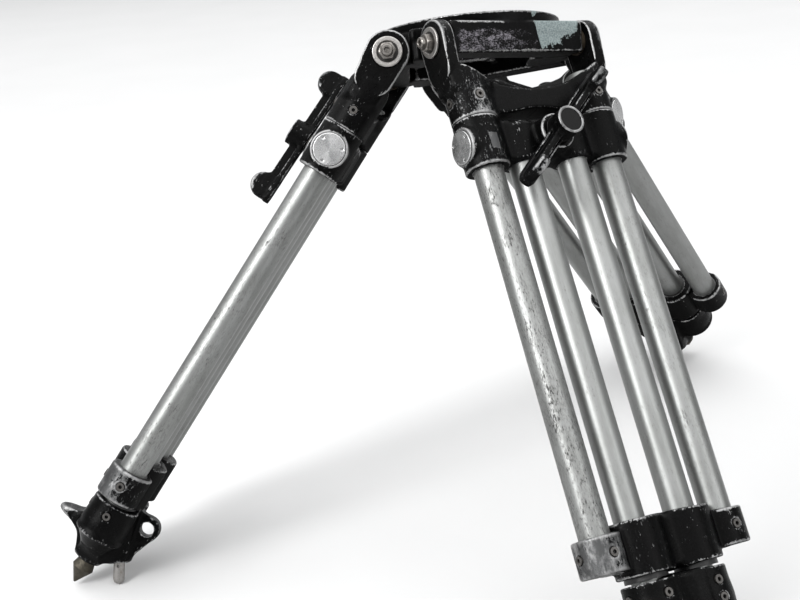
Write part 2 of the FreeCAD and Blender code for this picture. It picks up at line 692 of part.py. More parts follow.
def spreader_pin():
    """Spigot for a spreader on a thinner sunk stem: cross-drilled near its root, with a round end."""
    straight = PIN_SUNK + PIN_PROUD - PIN_RADIUS
    stem = Part.makeCylinder(PIN_STEM_RADIUS, PIN_SUNK)
    proud = Part.makeCylinder(PIN_RADIUS, straight - PIN_SUNK, Vector(0, 0, PIN_SUNK))
    body = join([stem, proud, Part.makeSphere(PIN_RADIUS, Vector(0, 0, straight))])
    hole = Part.makeCylinder(
        PIN_HOLE_RADIUS, 2 * PIN_RADIUS, Vector(-PIN_RADIUS, 0, PIN_SUNK + PIN_HOLE_AT), Vector(1, 0, 0)
    )
    return leaning(body.cut(hole))


def pin_end():
    """Centre of the spreader pin's round end, where the tripod rests on the floor."""
    return Vector(0, *PIN_ROOT) + pin_direction() * (PIN_PROUD - PIN_RADIUS)


def spike():
    """Ground spike: stem in the foot, wide shoulder and long point."""
    stem = rod("v", SPIKE_RADIUS, SPIKE_STEM_TOP, SPIKE_STEM_BOTTOM, (0, SPIKE_AXIS))
    shoulder = Vector(0, SPIKE_AXIS, SPIKE_STEM_BOTTOM)
    widest = Vector(0, SPIKE_AXIS, SPIKE_WIDE_AT)
    flare = Part.makeCone(SPIKE_RADIUS, SPIKE_WIDE, SPIKE_WIDE_AT - SPIKE_STEM_BOTTOM, shoulder)
    point = Part.makeCone(SPIKE_WIDE, SPIKE_TIP_RADIUS, SPIKE_TIP - SPIKE_WIDE_AT, widest)
    return join([stem, flare, point])


# ---- Placing ----


def leg_placement(direction, splay):
    """From a leg's frame to the crown's frame."""
    turn, lean = math.radians(direction), math.radians(splay)
    out = Vector(math.cos(turn), math.sin(turn), 0)
    along = Vector(-out.y, out.x, 0)
    up = Vector(0, 0, 1)
    down_leg = out * math.sin(lean) - up * math.cos(lean)
    outward = out * math.cos(lean) + up * math.sin(lean)
    centre = out * HINGE_REACH
    return Placement(Matrix(
        along.x, outward.x, down_leg.x, centre.x,
        along.y, outward.y, down_leg.y, centre.y,
        along.z, outward.z, down_leg.z, centre.z,
        0, 0, 0, 1,
    ))


def stance():
    """From the crown's frame to a level floor under the three spreader pins, before it is centred."""
    rests = [leg_placement(direction, splay).multVec(pin_end()) for _, direction, splay, _ in LEGS]
    normal = (rests[1] - rests[0]).cross(rests[2] - rests[0]).normalize()
    if normal.z < 0:
        normal = normal * -1
    level = Placement(Vector(), Rotation(normal, Vector(0, 0, 1)))
    return Placement(Vector(0, 0, PIN_RADIUS - level.multVec(rests[0]).z), level.Rotation)


def crown_nodes():
    return {
        "crown": crown(),
        "hinge_bolts": hinge_bolts(),
        "hinge_bushes": at_hinges(hinge_bush),
        "hinge_washers": at_hinges(hinge_washer),
        "hinge_nuts": at_hinges(hinge_nut),
    }


def leg_nodes(lever_angle):
    return {
        "yoke": yoke(),
        "outer_tubes": outer_tubes(),
        "guide_casting": guide_casting(),
        "guide_bushes": guide_bushes(),
        "tube_screws": tube_screws(),
        "slider": slider(),
        "inner_tubes": inner_tubes(),
        "inner_tube_screws": inner_tube_screws(),
        "brake_caps": group(both(brake_cap)),
        "foot_casting": foot_casting(),
        "spike": spike(),
        "spreader_pin": spreader_pin(),
        "brake_shoe_near": brake_shoe(1),
        "brake_shoe_far": brake_shoe(-1),
        "lock_spindle": lock_spindle(lever_angle),
        "lever": lever(lever_angle),
        "lever_cap": lever_cap(lever_angle),
    }


def moved(shape, placement):
    return shape.transformed(placement.toMatrix(), True)


def all_nodes():
    """Every node in the tripod's frame: on the floor, with the origin at the middle of its footprint."""
    floor = stance()
    nodes = {name: moved(shape, floor) for name, shape in crown_nodes().items()}
    for leg, direction, splay, lever_angle in LEGS:
        place = floor.multiply(leg_placement(direction, splay))
        for name, shape in leg_nodes(lever_angle).items():
            nodes[f"{leg}_{name}"] = moved(shape, place)
    middle = footprint_middle(nodes.values())
    for shape in nodes.values():
        shape.translate(middle * -1)
    return nodes, floor, middle


def footprint_middle(shapes):
    boxes = [shape.optimalBoundingBox(False) for shape in shapes]
    return Vector(
        (min(box.XMin for box in boxes) + max(box.XMax for box in boxes)) / 2,
        (min(box.YMin for box in boxes) + max(box.YMax for box in boxes)) / 2,
        0,
    )


def write(nodes):
    os.makedirs("parts", exist_ok=True)
    for name, shape in nodes.items():
        shape.exportStep(os.path.join("parts", name + ".step"))


tripod, floor_placement, origin_shift = all_nodes()
write(tripod)
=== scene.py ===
import json
import math

import bpy
import numpy as np
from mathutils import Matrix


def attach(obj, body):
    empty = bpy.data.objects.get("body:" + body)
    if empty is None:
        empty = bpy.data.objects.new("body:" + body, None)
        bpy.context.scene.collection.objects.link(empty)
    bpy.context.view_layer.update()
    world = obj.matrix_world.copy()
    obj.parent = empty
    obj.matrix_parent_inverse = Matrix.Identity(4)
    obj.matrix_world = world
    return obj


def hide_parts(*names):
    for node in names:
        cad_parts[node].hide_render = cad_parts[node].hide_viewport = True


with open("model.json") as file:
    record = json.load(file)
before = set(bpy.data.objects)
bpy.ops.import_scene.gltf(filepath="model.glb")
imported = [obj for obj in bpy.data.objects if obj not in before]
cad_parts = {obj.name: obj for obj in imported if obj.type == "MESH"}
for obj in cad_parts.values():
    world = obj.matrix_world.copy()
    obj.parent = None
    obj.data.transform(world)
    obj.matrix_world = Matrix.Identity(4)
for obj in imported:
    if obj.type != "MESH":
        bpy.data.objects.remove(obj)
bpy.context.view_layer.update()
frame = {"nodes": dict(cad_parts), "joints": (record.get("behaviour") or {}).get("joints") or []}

import openvdb
from mathutils import Matrix, Vector

# Looks of the tripod. Castings are drawn as smooth solids in a leg's own frame, in millimetres:
# u along the hinge bolt, w outward from the crown, v down the leg from the hinge.

MM = 0.001
LEGS = ("left", "front", "back")
SIDES = (-1, 1)

# In degrees: each lever's turn from its leg's line, and where the hinges are round the crown
LEVER_ANGLE = {"left": -15, "front": 48, "back": 48}
CROWN_SIDES = (180, -60, 60)

# In millimetres, in a leg's frame or the crown's
TUBE_RADIUS = 16
TUBE_BORE = 14
TUBE_PLANE = -1.5
OUTER_TUBE = 77
OUTER_TUBE_TOP = 42
INNER_TUBE = 31.4
INNER_TUBE_TOP = 103
INNER_TUBE_END = 622
FIXED_HOLE = 16.1
SLEEVE_RADIUS = 24
BRAKE_HEIGHT = 121.5
BRAKES = (TUBE_PLANE, BRAKE_HEIGHT)
HINGE_REACH = 90.7


# ---- Places ----


def joint(name):
    return next(j for j in frame["joints"] if j["name"] == name)


def leg_frame(leg):
    """Matrix from a leg's own millimetres to the row frame's metres, from its joints."""
    u = -Vector(joint(f"{leg}_leg_swing")["axis"]).normalized()
    v = Vector(joint(f"{leg}_leg_slide")["axis"]).normalized()
    w = v.cross(u)
    origin = Vector(joint(f"{leg}_leg_swing")["pos_m"])
    return frame_matrix(u, w, v, origin)


def frame_matrix(x, y, z, origin):
    turn = Matrix((x, y, z)).transposed().to_4x4()
    return Matrix.Translation(origin) @ turn @ Matrix.Scale(MM, 4)


LEG_FRAMES = {leg: leg_frame(leg) for leg in LEGS}


def crown_frame():
    """The crown's own millimetres: z up its axis, x away from the left leg."""
    swing = [Vector(joint(f"{leg}_leg_swing")["axis"]) for leg in ("left", "front")]
    up = swing[0].cross(swing[1]).normalized()
    up = up if up.z > 0 else -up
    out = (-swing[0]).cross(up).normalized()
    hinge = Vector(joint("left_leg_swing")["pos_m"])
    return frame_matrix(-out, up.cross(-out), up, hinge - out * HINGE_REACH * MM)


CROWN_FRAME = crown_frame()


# ---- Smooth solids: signed distances in millimetres ----


def smooth_min(a, b, blend):
    reach = np.maximum(blend - np.abs(a - b), 0)
    return np.minimum(a, b) - reach * reach / (4 * blend)


def smooth_max(a, b, blend):
    return -smooth_min(-a, -b, blend)


def union(parts, blend):
    solid = parts[0]
    for part in parts[1:]:
        solid = smooth_min(solid, part, blend)
    return solid


def cut(solid, tools, edge=0.8):
    for tool in tools:
        solid = smooth_max(solid, -tool, edge)
    return solid


AXIS_ORDER = {"u": (0, 1, 2), "w": (1, 0, 2), "v": (2, 0, 1)}


def along(p, axis):
    """Coordinate along the axis, then the other two in u, w, v order."""
    return [p[i] for i in AXIS_ORDER[axis]]


def slab(x, start, end):
    return np.maximum(start - x, x - end)


def rod(p, axis, radius, start, end, across=(0, 0), edge=1.0):
    x, a, b = along(p, axis)
    radial = np.sqrt((a - across[0]) ** 2 + (b - across[1]) ** 2) - radius
    return smooth_max(radial, slab(x, start, end), edge)


def cone(p, axis, start_radius, end_radius, start, end, across=(0, 0), edge=1.0):
    x, a, b = along(p, axis)
    share = np.clip((x - start) / (end - start), 0, 1)
    lean = math.cos(math.atan2(start_radius - end_radius, end - start))
    radial = np.sqrt((a - across[0]) ** 2 + (b - across[1]) ** 2)
    radial = (radial - start_radius - (end_radius - start_radius) * share) * lean
    return smooth_max(radial, slab(x, start, end), edge)


def hexagon(p, axis, across_flats, start, end, edge=0.4):
    """Hexagonal prism with two corners on the first cross axis."""
    x, a, b = along(p, axis)
    solid = slab(x, start, end)
    for turn in (math.pi / 2, math.pi / 6, -math.pi / 6):
        flat = np.abs(a * math.cos(turn) + b * math.sin(turn)) - across_flats / 2
        solid = smooth_max(solid, flat, edge)
    return solid


def box(p, low, high, edge=1.5):
    solid = smooth_max(slab(p[0], low[0], high[0]), slab(p[1], low[1], high[1]), edge)
    return smooth_max(solid, slab(p[2], low[2], high[2]), edge)


def capsule(a, b, first, second):
    """Distance to the outline of a belt round two circles, each (a, b, radius)."""
    run = math.hypot(second[0] - first[0], second[1] - first[1])
    ya, yb = (second[0] - first[0]) / run, (second[1] - first[1]) / run
    pa, pb = a - first[0], b - first[1]
    y = pa * ya + pb * yb
    x = np.abs(pa * yb - pb * ya)
    lean = (first[2] - second[2]) / run
    square = math.sqrt(1 - lean * lean)
    turn = -lean * x + square * y
    inside = np.where(
        turn > square * run,
        np.sqrt(x**2 + (y - run) ** 2) - second[2],
        x * square + y * lean - first[2],
    )
    return np.where(turn < 0, np.sqrt(x**2 + y**2) - first[2], inside)


def round_cone(p, first, first_radius, second, second_radius):
    """Round-ended cone between two balls."""
    run = Vector(second) - Vector(first)
    step = run.normalized()
    off = [p[i] - first[i] for i in range(3)]
    y = off[0] * step.x + off[1] * step.y + off[2] * step.z
    x = np.sqrt(np.maximum(off[0] ** 2 + off[1] ** 2 + off[2] ** 2 - y**2, 0))
    return capsule(x, y, (0, 0, first_radius), (0, run.length, second_radius))


def belt(p, axis, start, end, first, second, edge=1.2):
    x, a, b = along(p, axis)
    return smooth_max(capsule(a, b, first, second), slab(x, start, end), edge)


def plate(p, axis, start, end, outline, edge=1.5):
    """Plate with a convex outline, extruded along an axis."""
    x, a, b = along(p, axis)
    middle = np.mean(outline, axis=0)
    solid = slab(x, start, end)
    for one, two in zip(outline, outline[1:] + outline[:1]):
        normal = Vector((two[1] - one[1], one[0] - two[0])).normalized()
        if normal.dot(Vector(middle) - Vector(one)) > 0:
            normal = -normal
        side = (a - one[0]) * normal.x + (b - one[1]) * normal.y
        solid = smooth_max(solid, side, edge)
    return solid


def at_sides(make):
    return [make(side) for side in SIDES]


def span(side, near, far):
    return sorted((side * near, side * far))


def side_boxes(p, reach, across, heights, edge):
    """A box on each side, between two reaches along u, two w and two v."""
    return at_sides(lambda s: box(
        p, (span(s, *reach)[0], across[0], heights[0]), (span(s, *reach)[1], across[1], heights[1]), edge
    ))


def tubes(p, place, radius, start, end, edge=1.0):
    return at_sides(lambda s: rod(p, "v", radius, start, end, (s * place, TUBE_PLANE), edge))


SCREW_SEAT_RADIUS = 5.1
SCREW_SEAT_DEPTH = 1.0
GUIDE_COLLAR_RADIUS = 24.5
FOOT_COLLAR_RADIUS = 27.5


def screw_ring(p, axis, face, across, side=1):
    """Counterbore round a set screw, cut from a casting's face."""
    return rod(p, axis, SCREW_SEAT_RADIUS, *span(side, face - SCREW_SEAT_DEPTH, face + 6), across, 0.4)


def screw_places(place, heights, face):
    """(axis, side, across, face) of each set screw in a casting on a pair of tubes."""
    places = [("w", 1, (s * place, v), TUBE_PLANE + face) for s in SIDES for v in heights]
    places += [("u", s, (TUBE_PLANE, heights[0]), place + face) for s in SIDES]
    return places


YOKE_SCREWS = screw_places(OUTER_TUBE, (72,), SLEEVE_RADIUS)
GUIDE_SCREWS = screw_places(OUTER_TUBE, (554.5,), GUIDE_COLLAR_RADIUS)
FOOT_SCREWS = screw_places(INNER_TUBE, (602.5, 619.5), FOOT_COLLAR_RADIUS)


def screw_cuts(p, places):
    return [screw_ring(p, axis, face, across, side) for axis, side, across, face in places]


# ---- The castings ----


YOKE_TOP = 36
YOKE_BOTTOM = 93.2
EAR_INNER = 88.5
EAR_OUTER = 102.5
EAR_HINGE = (0, 0, 24)
EAR_ROOT = (-2, 30, 21.5)
BEAM_CLEARANCE = 21.5
HOLLOW_RADIUS = 150
HOLLOW_DEPTH = 62
UNDERCUT_RADIUS = 113.5
UNDERCUT_TOP = 85
BOLT_HOLE = 6.1


def yoke(p):
    """Sockets, shoulders and a web, hollowed towards the crown, between two ears."""
    sockets = tubes(p, OUTER_TUBE, SLEEVE_RADIUS, YOKE_TOP, YOKE_BOTTOM, 1.6)
    shoulders = side_boxes(p, (56, 100.5), (-20, 15), (4, 60), 6)
    ears = at_sides(lambda s: belt(p, "u", *span(s, EAR_INNER, EAR_OUTER), EAR_HINGE, EAR_ROOT, 1.2))
    web = box(p, (-OUTER_TUBE, -18, 20), (OUTER_TUBE, 13, 90), 3)
    hollow = rod(p, "w", HOLLOW_RADIUS, -60, 60, (0, HOLLOW_DEPTH - HOLLOW_RADIUS), 1)
    hollow = smooth_max(hollow, slab(p[0], -88.2, 88.2), 6)
    undercut = rod(p, "w", UNDERCUT_RADIUS, -60, 60, (0, UNDERCUT_TOP + UNDERCUT_RADIUS), 1)
    undercut = smooth_max(undercut, slab(p[0], -53, 53), 10)
    clearance = rod(p, "u", BEAM_CLEARANCE, -88.3, 88.3)
    body = union([*sockets, web, *shoulders], 8)
    body = cut(body, [hollow, undercut], 3)
    body = cut(body, [clearance], 1.5)
    body = union([body, *ears], 0.9)
    holes = tubes(p, OUTER_TUBE, FIXED_HOLE, OUTER_TUBE_TOP, 94)
    bolt = rod(p, "u", BOLT_HOLE, -110, 110)
    return cut(body, [*holes, bolt, *screw_cuts(p, YOKE_SCREWS)], 0.7)


SLIDER_TOP = 93.5
SLIDER_BOTTOM = 149
SLIDER_OUTER_HOLE = 16.12
SLIDER_INNER_HOLE = 16.05
BRAKE_BOSS_RADIUS = 21
PEDESTAL_RADIUS = 20
PEDESTAL_HEIGHT = 31.5
SPINDLE_HOLE = 10.5
CAP_BACK = 98
CAP_FACE = 102
CAP_RADIUS = 17.8


def slider(p):
    """Sleeves on the outer tubes, sockets for the inner ones, brake bosses and the lever's pedestal."""
    sleeves = tubes(p, OUTER_TUBE, SLEEVE_RADIUS, SLIDER_TOP, SLIDER_BOTTOM, 2.2)
    bosses = at_sides(lambda s: rod(p, "u", BRAKE_BOSS_RADIUS, *span(s, OUTER_TUBE, 100.5), BRAKES, 1.6))
    inner = tubes(p, INNER_TUBE, 21.5, 101, 146, 6)
    web = box(p, (-OUTER_TUBE, -20, 97), (OUTER_TUBE, 11, 142), 4)
    pedestal = rod(p, "w", PEDESTAL_RADIUS, -22, PEDESTAL_HEIGHT, (0, BRAKE_HEIGHT), 2)
    body = union([*sleeves, *bosses], 2.5)
    body = union([body, web], 6)
    body = union([body, *inner], 5)
    body = union([body, pedestal], 7)
    holes = tubes(p, OUTER_TUBE, SLIDER_OUTER_HOLE, 90, 152)
    holes += tubes(p, INNER_TUBE, SLIDER_INNER_HOLE, 104, 150)
    seats = at_sides(lambda s: rod(p, "u", CAP_RADIUS + 0.4, *span(s, CAP_BACK, 104), BRAKES, 0.4))
    spindle = rod(p, "w", SPINDLE_HOLE, -16.5, 40, (0, BRAKE_HEIGHT))
    return cut(body, [*holes, *seats, spindle], 0.8)


GUIDE_TOP = 537
GUIDE_BOTTOM = 573.5
GUIDE_INNER_RADIUS = 29
GUIDE_INNER_HOLE = 18.6


def guide_casting(p):
    """Four collars: two on the outer tubes, and two larger ones round the inner tubes' bushes."""
    collars = tubes(p, OUTER_TUBE, GUIDE_COLLAR_RADIUS, GUIDE_TOP, GUIDE_BOTTOM, 2.5)
    inner = tubes(p, INNER_TUBE, GUIDE_INNER_RADIUS, 528.5, 582, 2.5)
    web = box(p, (-OUTER_TUBE, -15.5, GUIDE_TOP), (OUTER_TUBE, 12.5, GUIDE_BOTTOM), 3)
    saddle = box(p, (-24, -19, 531), (24, 14, 579), 5)
    body = union([*collars, web], 5)
    body = union([body, smooth_min(*inner, 9)], 3.5)
    body = union([body, saddle], 9)
    holes = tubes(p, OUTER_TUBE, FIXED_HOLE, 530, 580) + tubes(p, INNER_TUBE, GUIDE_INNER_HOLE, 520, 590)
    return cut(body, [*holes, *screw_cuts(p, GUIDE_SCREWS)], 0.9)


FOOT_TOP = 589
FOOT_FLOOR = 632
EYE_PLACE = (-44, 604.4)
EYE_RADIUS = 14
EYE_HOLE = 8.25
EYE_ROOTS = ((-22, 612, 22), (-31, 641, 14))
HORN_TIP = (55.5, 633.5, 2.6)
HORN_WAIST = (24, 634, 9)
HORN_ROOT = (8, 655, 7)
PIN_ROOT = (-35, 654)
PIN_LEAN = math.radians(30)
PIN_PAD_RADIUS = 13
HOLDER_RADIUS = 13
BRACE = ((-31.4, 626), (31.4, 626), (31.4, 648), (13, 667), (-13, 667), (-31.4, 648))
KEEL = ((20, 593), (24, 626), (17, 655), (10, 668), (-16, 667), (-32, 655), (-40, 645), (-24, 589))


def foot_casting(p):
    """Collars on the inner tubes that run down into a cup, with an eye, a horn and two holders below."""
    collars = tubes(p, INNER_TUBE, FOOT_COLLAR_RADIUS, FOOT_TOP, FOOT_FLOOR, 2.2)
    floors = at_sides(lambda s: cone(
        p, "v", FOOT_COLLAR_RADIUS, HOLDER_RADIUS, 630, 648, (s * INNER_TUBE, TUBE_PLANE), 3
    ))
    web = box(p, (-INNER_TUBE, -20, FOOT_TOP), (INNER_TUBE, 17, FOOT_FLOOR), 3)
    brace = plate(p, "w", -15, 12, BRACE, 3)
    keel = plate(p, "u", -13, 13, KEEL, 3)
    eye = [belt(p, "u", -7, 7, (*EYE_PLACE, EYE_RADIUS), root, 2.5) for root in EYE_ROOTS]
    spur = belt(p, "u", -15, 15, HORN_TIP, HORN_WAIST, 2.5)
    plan = capsule(p[0], p[1], (0, 0, 17.6), (0, 43.1, 15))
    horn = smooth_max(spur, plan, 2.5)
    horn_root = belt(p, "u", -13, 13, HORN_WAIST, HORN_ROOT, 3)
    holder = rod(p, "v", HOLDER_RADIUS, 640, 671, (0, -3), 1.5)
    out, down = p[1] - PIN_ROOT[0], p[2] - PIN_ROOT[1]
    along_pin = -out * math.sin(PIN_LEAN) + down * math.cos(PIN_LEAN)
    off_pin = out * math.cos(PIN_LEAN) + down * math.sin(PIN_LEAN)
    from_pin = np.sqrt(p[0] ** 2 + off_pin**2)
    pad = smooth_max(from_pin - PIN_PAD_RADIUS, slab(along_pin, -14, 0), 2)
    body = union([*collars, web], 4)
    cup = at_sides(lambda s: round_cone(p, (s * INNER_TUBE, TUBE_PLANE, 617), 26.5, (s * 4, -7, 655), 13))
    body = union([body, *floors, *cup, brace], 6)
    body = union([body, keel], 13)
    body = union([body, smooth_min(*eye, 3), holder, pad], 8)
    body = union([body, horn, horn_root], 7)
    holes = tubes(p, INNER_TUBE, FIXED_HOLE, 580, INNER_TUBE_END)
    eye_hole = rod(p, "u", EYE_HOLE, -40, 40, EYE_PLACE)
    spot_face = smooth_max(from_pin - PIN_PAD_RADIUS, slab(along_pin, 0, 28), 1)
    return cut(body, [*holes, eye_hole, spot_face, *screw_cuts(p, FOOT_SCREWS)], 1.2)


LEVER_LOW = 34
FIN_HIGH = 49.5
LOBE_AT = 73.2
LOBE_RADIUS = 14.8
BOSS_RADIUS = 15.5
BOSS_HIGH = 57.5
LEVER_RECESS_RADIUS = 12.7


def lever(p):
    """Along v before its turn; its own middle is at v = BRAKE_HEIGHT."""
    q = (p[0], p[1], p[2] - BRAKE_HEIGHT)
    flange = belt(q, "w", LEVER_LOW, 39, (0, -79.5, 8.5), (0, 79.5, 8.5), 1.4)
    fin = box(q, (-3.5, LEVER_LOW, -73), (3.5, FIN_HIGH, 73), 1.6)
    ribs = side_boxes(q, (6.2, 8.2), (36, 40.4), (-76, 76), 1)
    lobes = []
    for middle in (-LOBE_AT, LOBE_AT):
        disc = rod(q, "u", LOBE_RADIUS, -5.5, 5.5, (FIN_HIGH, middle), 3)
        root = box(q, (-5.5, LEVER_LOW, middle - LOBE_RADIUS), (5.5, FIN_HIGH, middle + LOBE_RADIUS), 3)
        lobes.append(smooth_min(disc, root, 1))
    boss = rod(q, "w", BOSS_RADIUS, LEVER_LOW, BOSS_HIGH, (0, 0), 1.2)
    body = union([flange, fin], 2.5)
    body = union([body, *ribs], 1)
    body = union([body, *lobes], 5)
    body = union([body, boss], 4)
    recess = rod(q, "w", LEVER_RECESS_RADIUS, 54.5, 62, (0, 0), 0.5)
    screw_hole = rod(q, "v", 1.9, 12, 20, (0, 46), 0.3)
    body = cut(body, [recess, screw_hole], 0.5)
    return smooth_max(body, LEVER_LOW - q[1], 0.8)


CAP_HOLE_RADIUS = 1.7
CAP_HOLE_CIRCLE = 14.2


def brake_cap(p):
    """Cap with three spanner holes, on the leg's own u axis at the brakes' height."""
    cap = rod(p, "u", CAP_RADIUS, CAP_BACK, CAP_FACE, BRAKES, 0.7)
    turns = [math.radians(turn) for turn in (90, 210, 330)]
    holes = [rod(p, "u", CAP_HOLE_RADIUS, 99.5, 104, (
        TUBE_PLANE + CAP_HOLE_CIRCLE * math.cos(turn), BRAKE_HEIGHT + CAP_HOLE_CIRCLE * math.sin(turn)
    ), 0.2) for turn in turns]
    return cut(cap, holes, 0.4)


WASHER_RADIUS = 16.5
WASHER_THICK = 3
WASHER_DISH_RADIUS = 11.5
WASHER_DISH_FLOOR = 1.4
HARDWARE_HOLE = 6.05
NUT_ACROSS = 17
NUT_FACE = 9.9


def hinge_washer(p):
    """Dished washer round a hinge bolt that runs along u; its back is at u = 0."""
    disc = rod(p, "u", WASHER_RADIUS, 0, WASHER_THICK, (0, 0), 0.9)
    dish = rod(p, "u", WASHER_DISH_RADIUS, WASHER_DISH_FLOOR, 6, (0, 0), 0.5)
    return cut(disc, [dish, rod(p, "u", HARDWARE_HOLE, -2, 6)], 0.6)


def hinge_nut(p):
    """Nut on the same bolt, with a chamfer round its outer end."""
    radial = np.sqrt(p[1] ** 2 + p[2] ** 2)
    prism = hexagon(p, "u", NUT_ACROSS, WASHER_DISH_FLOOR, NUT_FACE)
    chamfer = (radial - 8.2 + 1.7 * (p[0] - NUT_FACE)) * 0.507
    nut = smooth_max(prism, chamfer, 0.3)
    return cut(nut, [rod(p, "u", HARDWARE_HOLE, -2, 14)], 0.5)


def turned_side(p, direction):
    """A crown side's own coordinates: r outward, t along its hinge bolt, z up."""
    turn = math.radians(direction)
    return (
        p[0] * math.cos(turn) + p[1] * math.sin(turn),
        -p[0] * math.sin(turn) + p[1] * math.cos(turn),
        p[2],
    )


DECK_LOW = 9
DECK_CORNER = 126
PANEL_REACH = 105
PANEL_HALF = 85
PANEL_LOW = -13
PANEL_HIGH = 20.5
BEAM_INNER = 68
NOSE_REACH = 122
NOSE_HALF = 30
SEAT_HIGH = 32
SEAT_BORE = 37
SEAT_SLOPE = 0.26
HUB_RADIUS = 46
HUB_LOW = 2
RIB_HALF = 3.5
RIB_HIGH = 24
POCKET_INNER = 64
POCKET_HALF = 107.5
BUSH_RADIUS = 9
BOLT_RADIUS = 6


def crown(p):
    """Deck, seat, hinge beams and corner noses, open below, with ribs, and pockets for the ears."""
    sides = [turned_side(p, direction) for direction in CROWN_SIDES]
    radius = np.sqrt(p[0] ** 2 + p[1] ** 2)
    deck = slab(p[2], DECK_LOW, PANEL_HIGH)
    for q in sides:
        deck = smooth_max(deck, q[0] - PANEL_REACH, 2.5)
        deck = smooth_max(deck, -q[0] - DECK_CORNER, 2.5)
    beams = [
        box(q, (BEAM_INNER, -PANEL_HALF, PANEL_LOW), (PANEL_REACH, PANEL_HALF, PANEL_HIGH), 3.2)
        for q in sides
    ]
    cone_face = radius - PANEL_REACH - (p[2] - PANEL_HIGH) * SEAT_SLOPE
    seat = smooth_max(cone_face, slab(p[2], 17, SEAT_HIGH), 2.2)
    noses = [box(
        (-q[0], -q[1], q[2]), (BEAM_INNER, -NOSE_HALF, PANEL_LOW), (NOSE_REACH, NOSE_HALF, PANEL_HIGH), 3
    ) for q in sides]
    shell = union([deck, *beams, *noses], 3)
    shell = union([shell, seat], 1.5)
    shell = cut(shell, [smooth_max(radius - BEAM_INNER, slab(p[2], 0, 22), 4)], 3)
    hub = smooth_max(radius - HUB_RADIUS, slab(p[2], HUB_LOW, 30), 1.5)
    ribs = []
    for q in sides:
        for r, t, reach in ((q[0], q[1], 72), (-q[0], q[1], 90)):
            ribs.append(box((r, t, q[2]), (SEAT_BORE, -RIB_HALF, HUB_LOW), (reach, RIB_HALF, RIB_HIGH), 2))
    body = union([shell, hub, *ribs], 4)
    keyway = box(p, (-4, 36, 27), (4, 112, 40), 0.5)
    tools = [radius - SEAT_BORE, keyway]
    for q in sides:
        bolt_line = (q[1], q[0], q[2])
        for s in SIDES:
            start, end = span(s, PANEL_HALF, POCKET_HALF)
            tools.append(box(q, (POCKET_INNER, start, -20), (150, end, 50), 3))
            tools.append(rod(bolt_line, "u", BUSH_RADIUS, *span(s, 60, 90), (HINGE_REACH, 0)))
        tools.append(rod(bolt_line, "u", BOLT_RADIUS, -90, 90, (HINGE_REACH, 0)))
    return cut(body, tools, 1.0)


# ---- From a smooth solid to a mesh ----


def grid_points(low, high, voxel):
    counts = [int(math.ceil((h - l) / voxel)) + 1 for l, h in zip(low, high)]
    lines = [(l + voxel * np.arange(n)).astype(np.float32) for l, n in zip(low, counts)]
    return [lines[0][:, None, None], lines[1][None, :, None], lines[2][None, None, :]]


def box_blur(values, reach, axis):
    width = 2 * reach + 1
    pad = [(reach + 1, reach) if i == axis else (0, 0) for i in range(3)]
    total = np.cumsum(np.pad(values, pad, mode="edge"), axis=axis, dtype=np.float64)
    upper = [slice(None)] * 3
    lower = [slice(None)] * 3
    upper[axis], lower[axis] = slice(width, None), slice(None, -width)
    return ((total[tuple(upper)] - total[tuple(lower)]) / width).astype(np.float32)


def blurred(values, reach, rounds=2):
    for _ in range(rounds):
        for axis in range(3):
            values = box_blur(values, reach, axis)
    return values


def sampled(values, places):
    """Values of a grid at points given in grid steps."""
    base = np.clip(np.floor(places).astype(int), 0, np.array(values.shape) - 2)
    share = places - base
    total = np.zeros(len(places))
    for step in np.ndindex(2, 2, 2):
        weight = np.prod(np.where(np.array(step) == 1, share, 1 - share), axis=1)
        total += weight * values[tuple((base + step).T)]
    return total


class Solid:
    """A mesh of a smooth solid, with how convex it is at each point."""

    def __init__(self, shape, low, high, voxel):
        low, high = np.array(low, float) - 3 * voxel, np.array(high, float) + 3 * voxel
        values = np.ascontiguousarray(shape(grid_points(low, high, voxel)), np.float32)
        grid = openvdb.FloatGrid(99.0)
        grid.copyFromArray(np.clip(values, -20, 20))
        points, quads = grid.convertToQuads()
        self.quads = quads.astype(np.int64)
        self.points = low + points.astype(float) * voxel
        for _ in range(2):
            self.settle(shape, voxel)
        steps = (self.points - low) / voxel
        near = np.clip(values, -12, 12)
        fine, wide = blurred(near, max(1, round(1 / voxel))), blurred(near, max(2, round(3 / voxel)))
        self.edge = sampled(fine, steps)
        self.crest = sampled(wide, steps)

    def settle(self, shape, voxel):
        """Moves the points onto the solid's true surface."""
        step = 0.05
        at = [self.points[:, i].astype(np.float32) for i in range(3)]
        here = shape(at)
        slope = np.stack([
            (shape([c + (step if i == j else 0) for j, c in enumerate(at)]) - here) / step for i in range(3)
        ], axis=1)
        size = np.maximum((slope**2).sum(1), 0.2)
        move = -(here / size)[:, None] * slope
        far = np.linalg.norm(move, axis=1, keepdims=True)
        self.points += move * np.minimum(1, 0.5 * voxel / np.maximum(far, 1e-9))


NOISE_OFFSET = {"left": 0.0, "front": 900.0, "back": 1900.0, "crown": 3000.0}


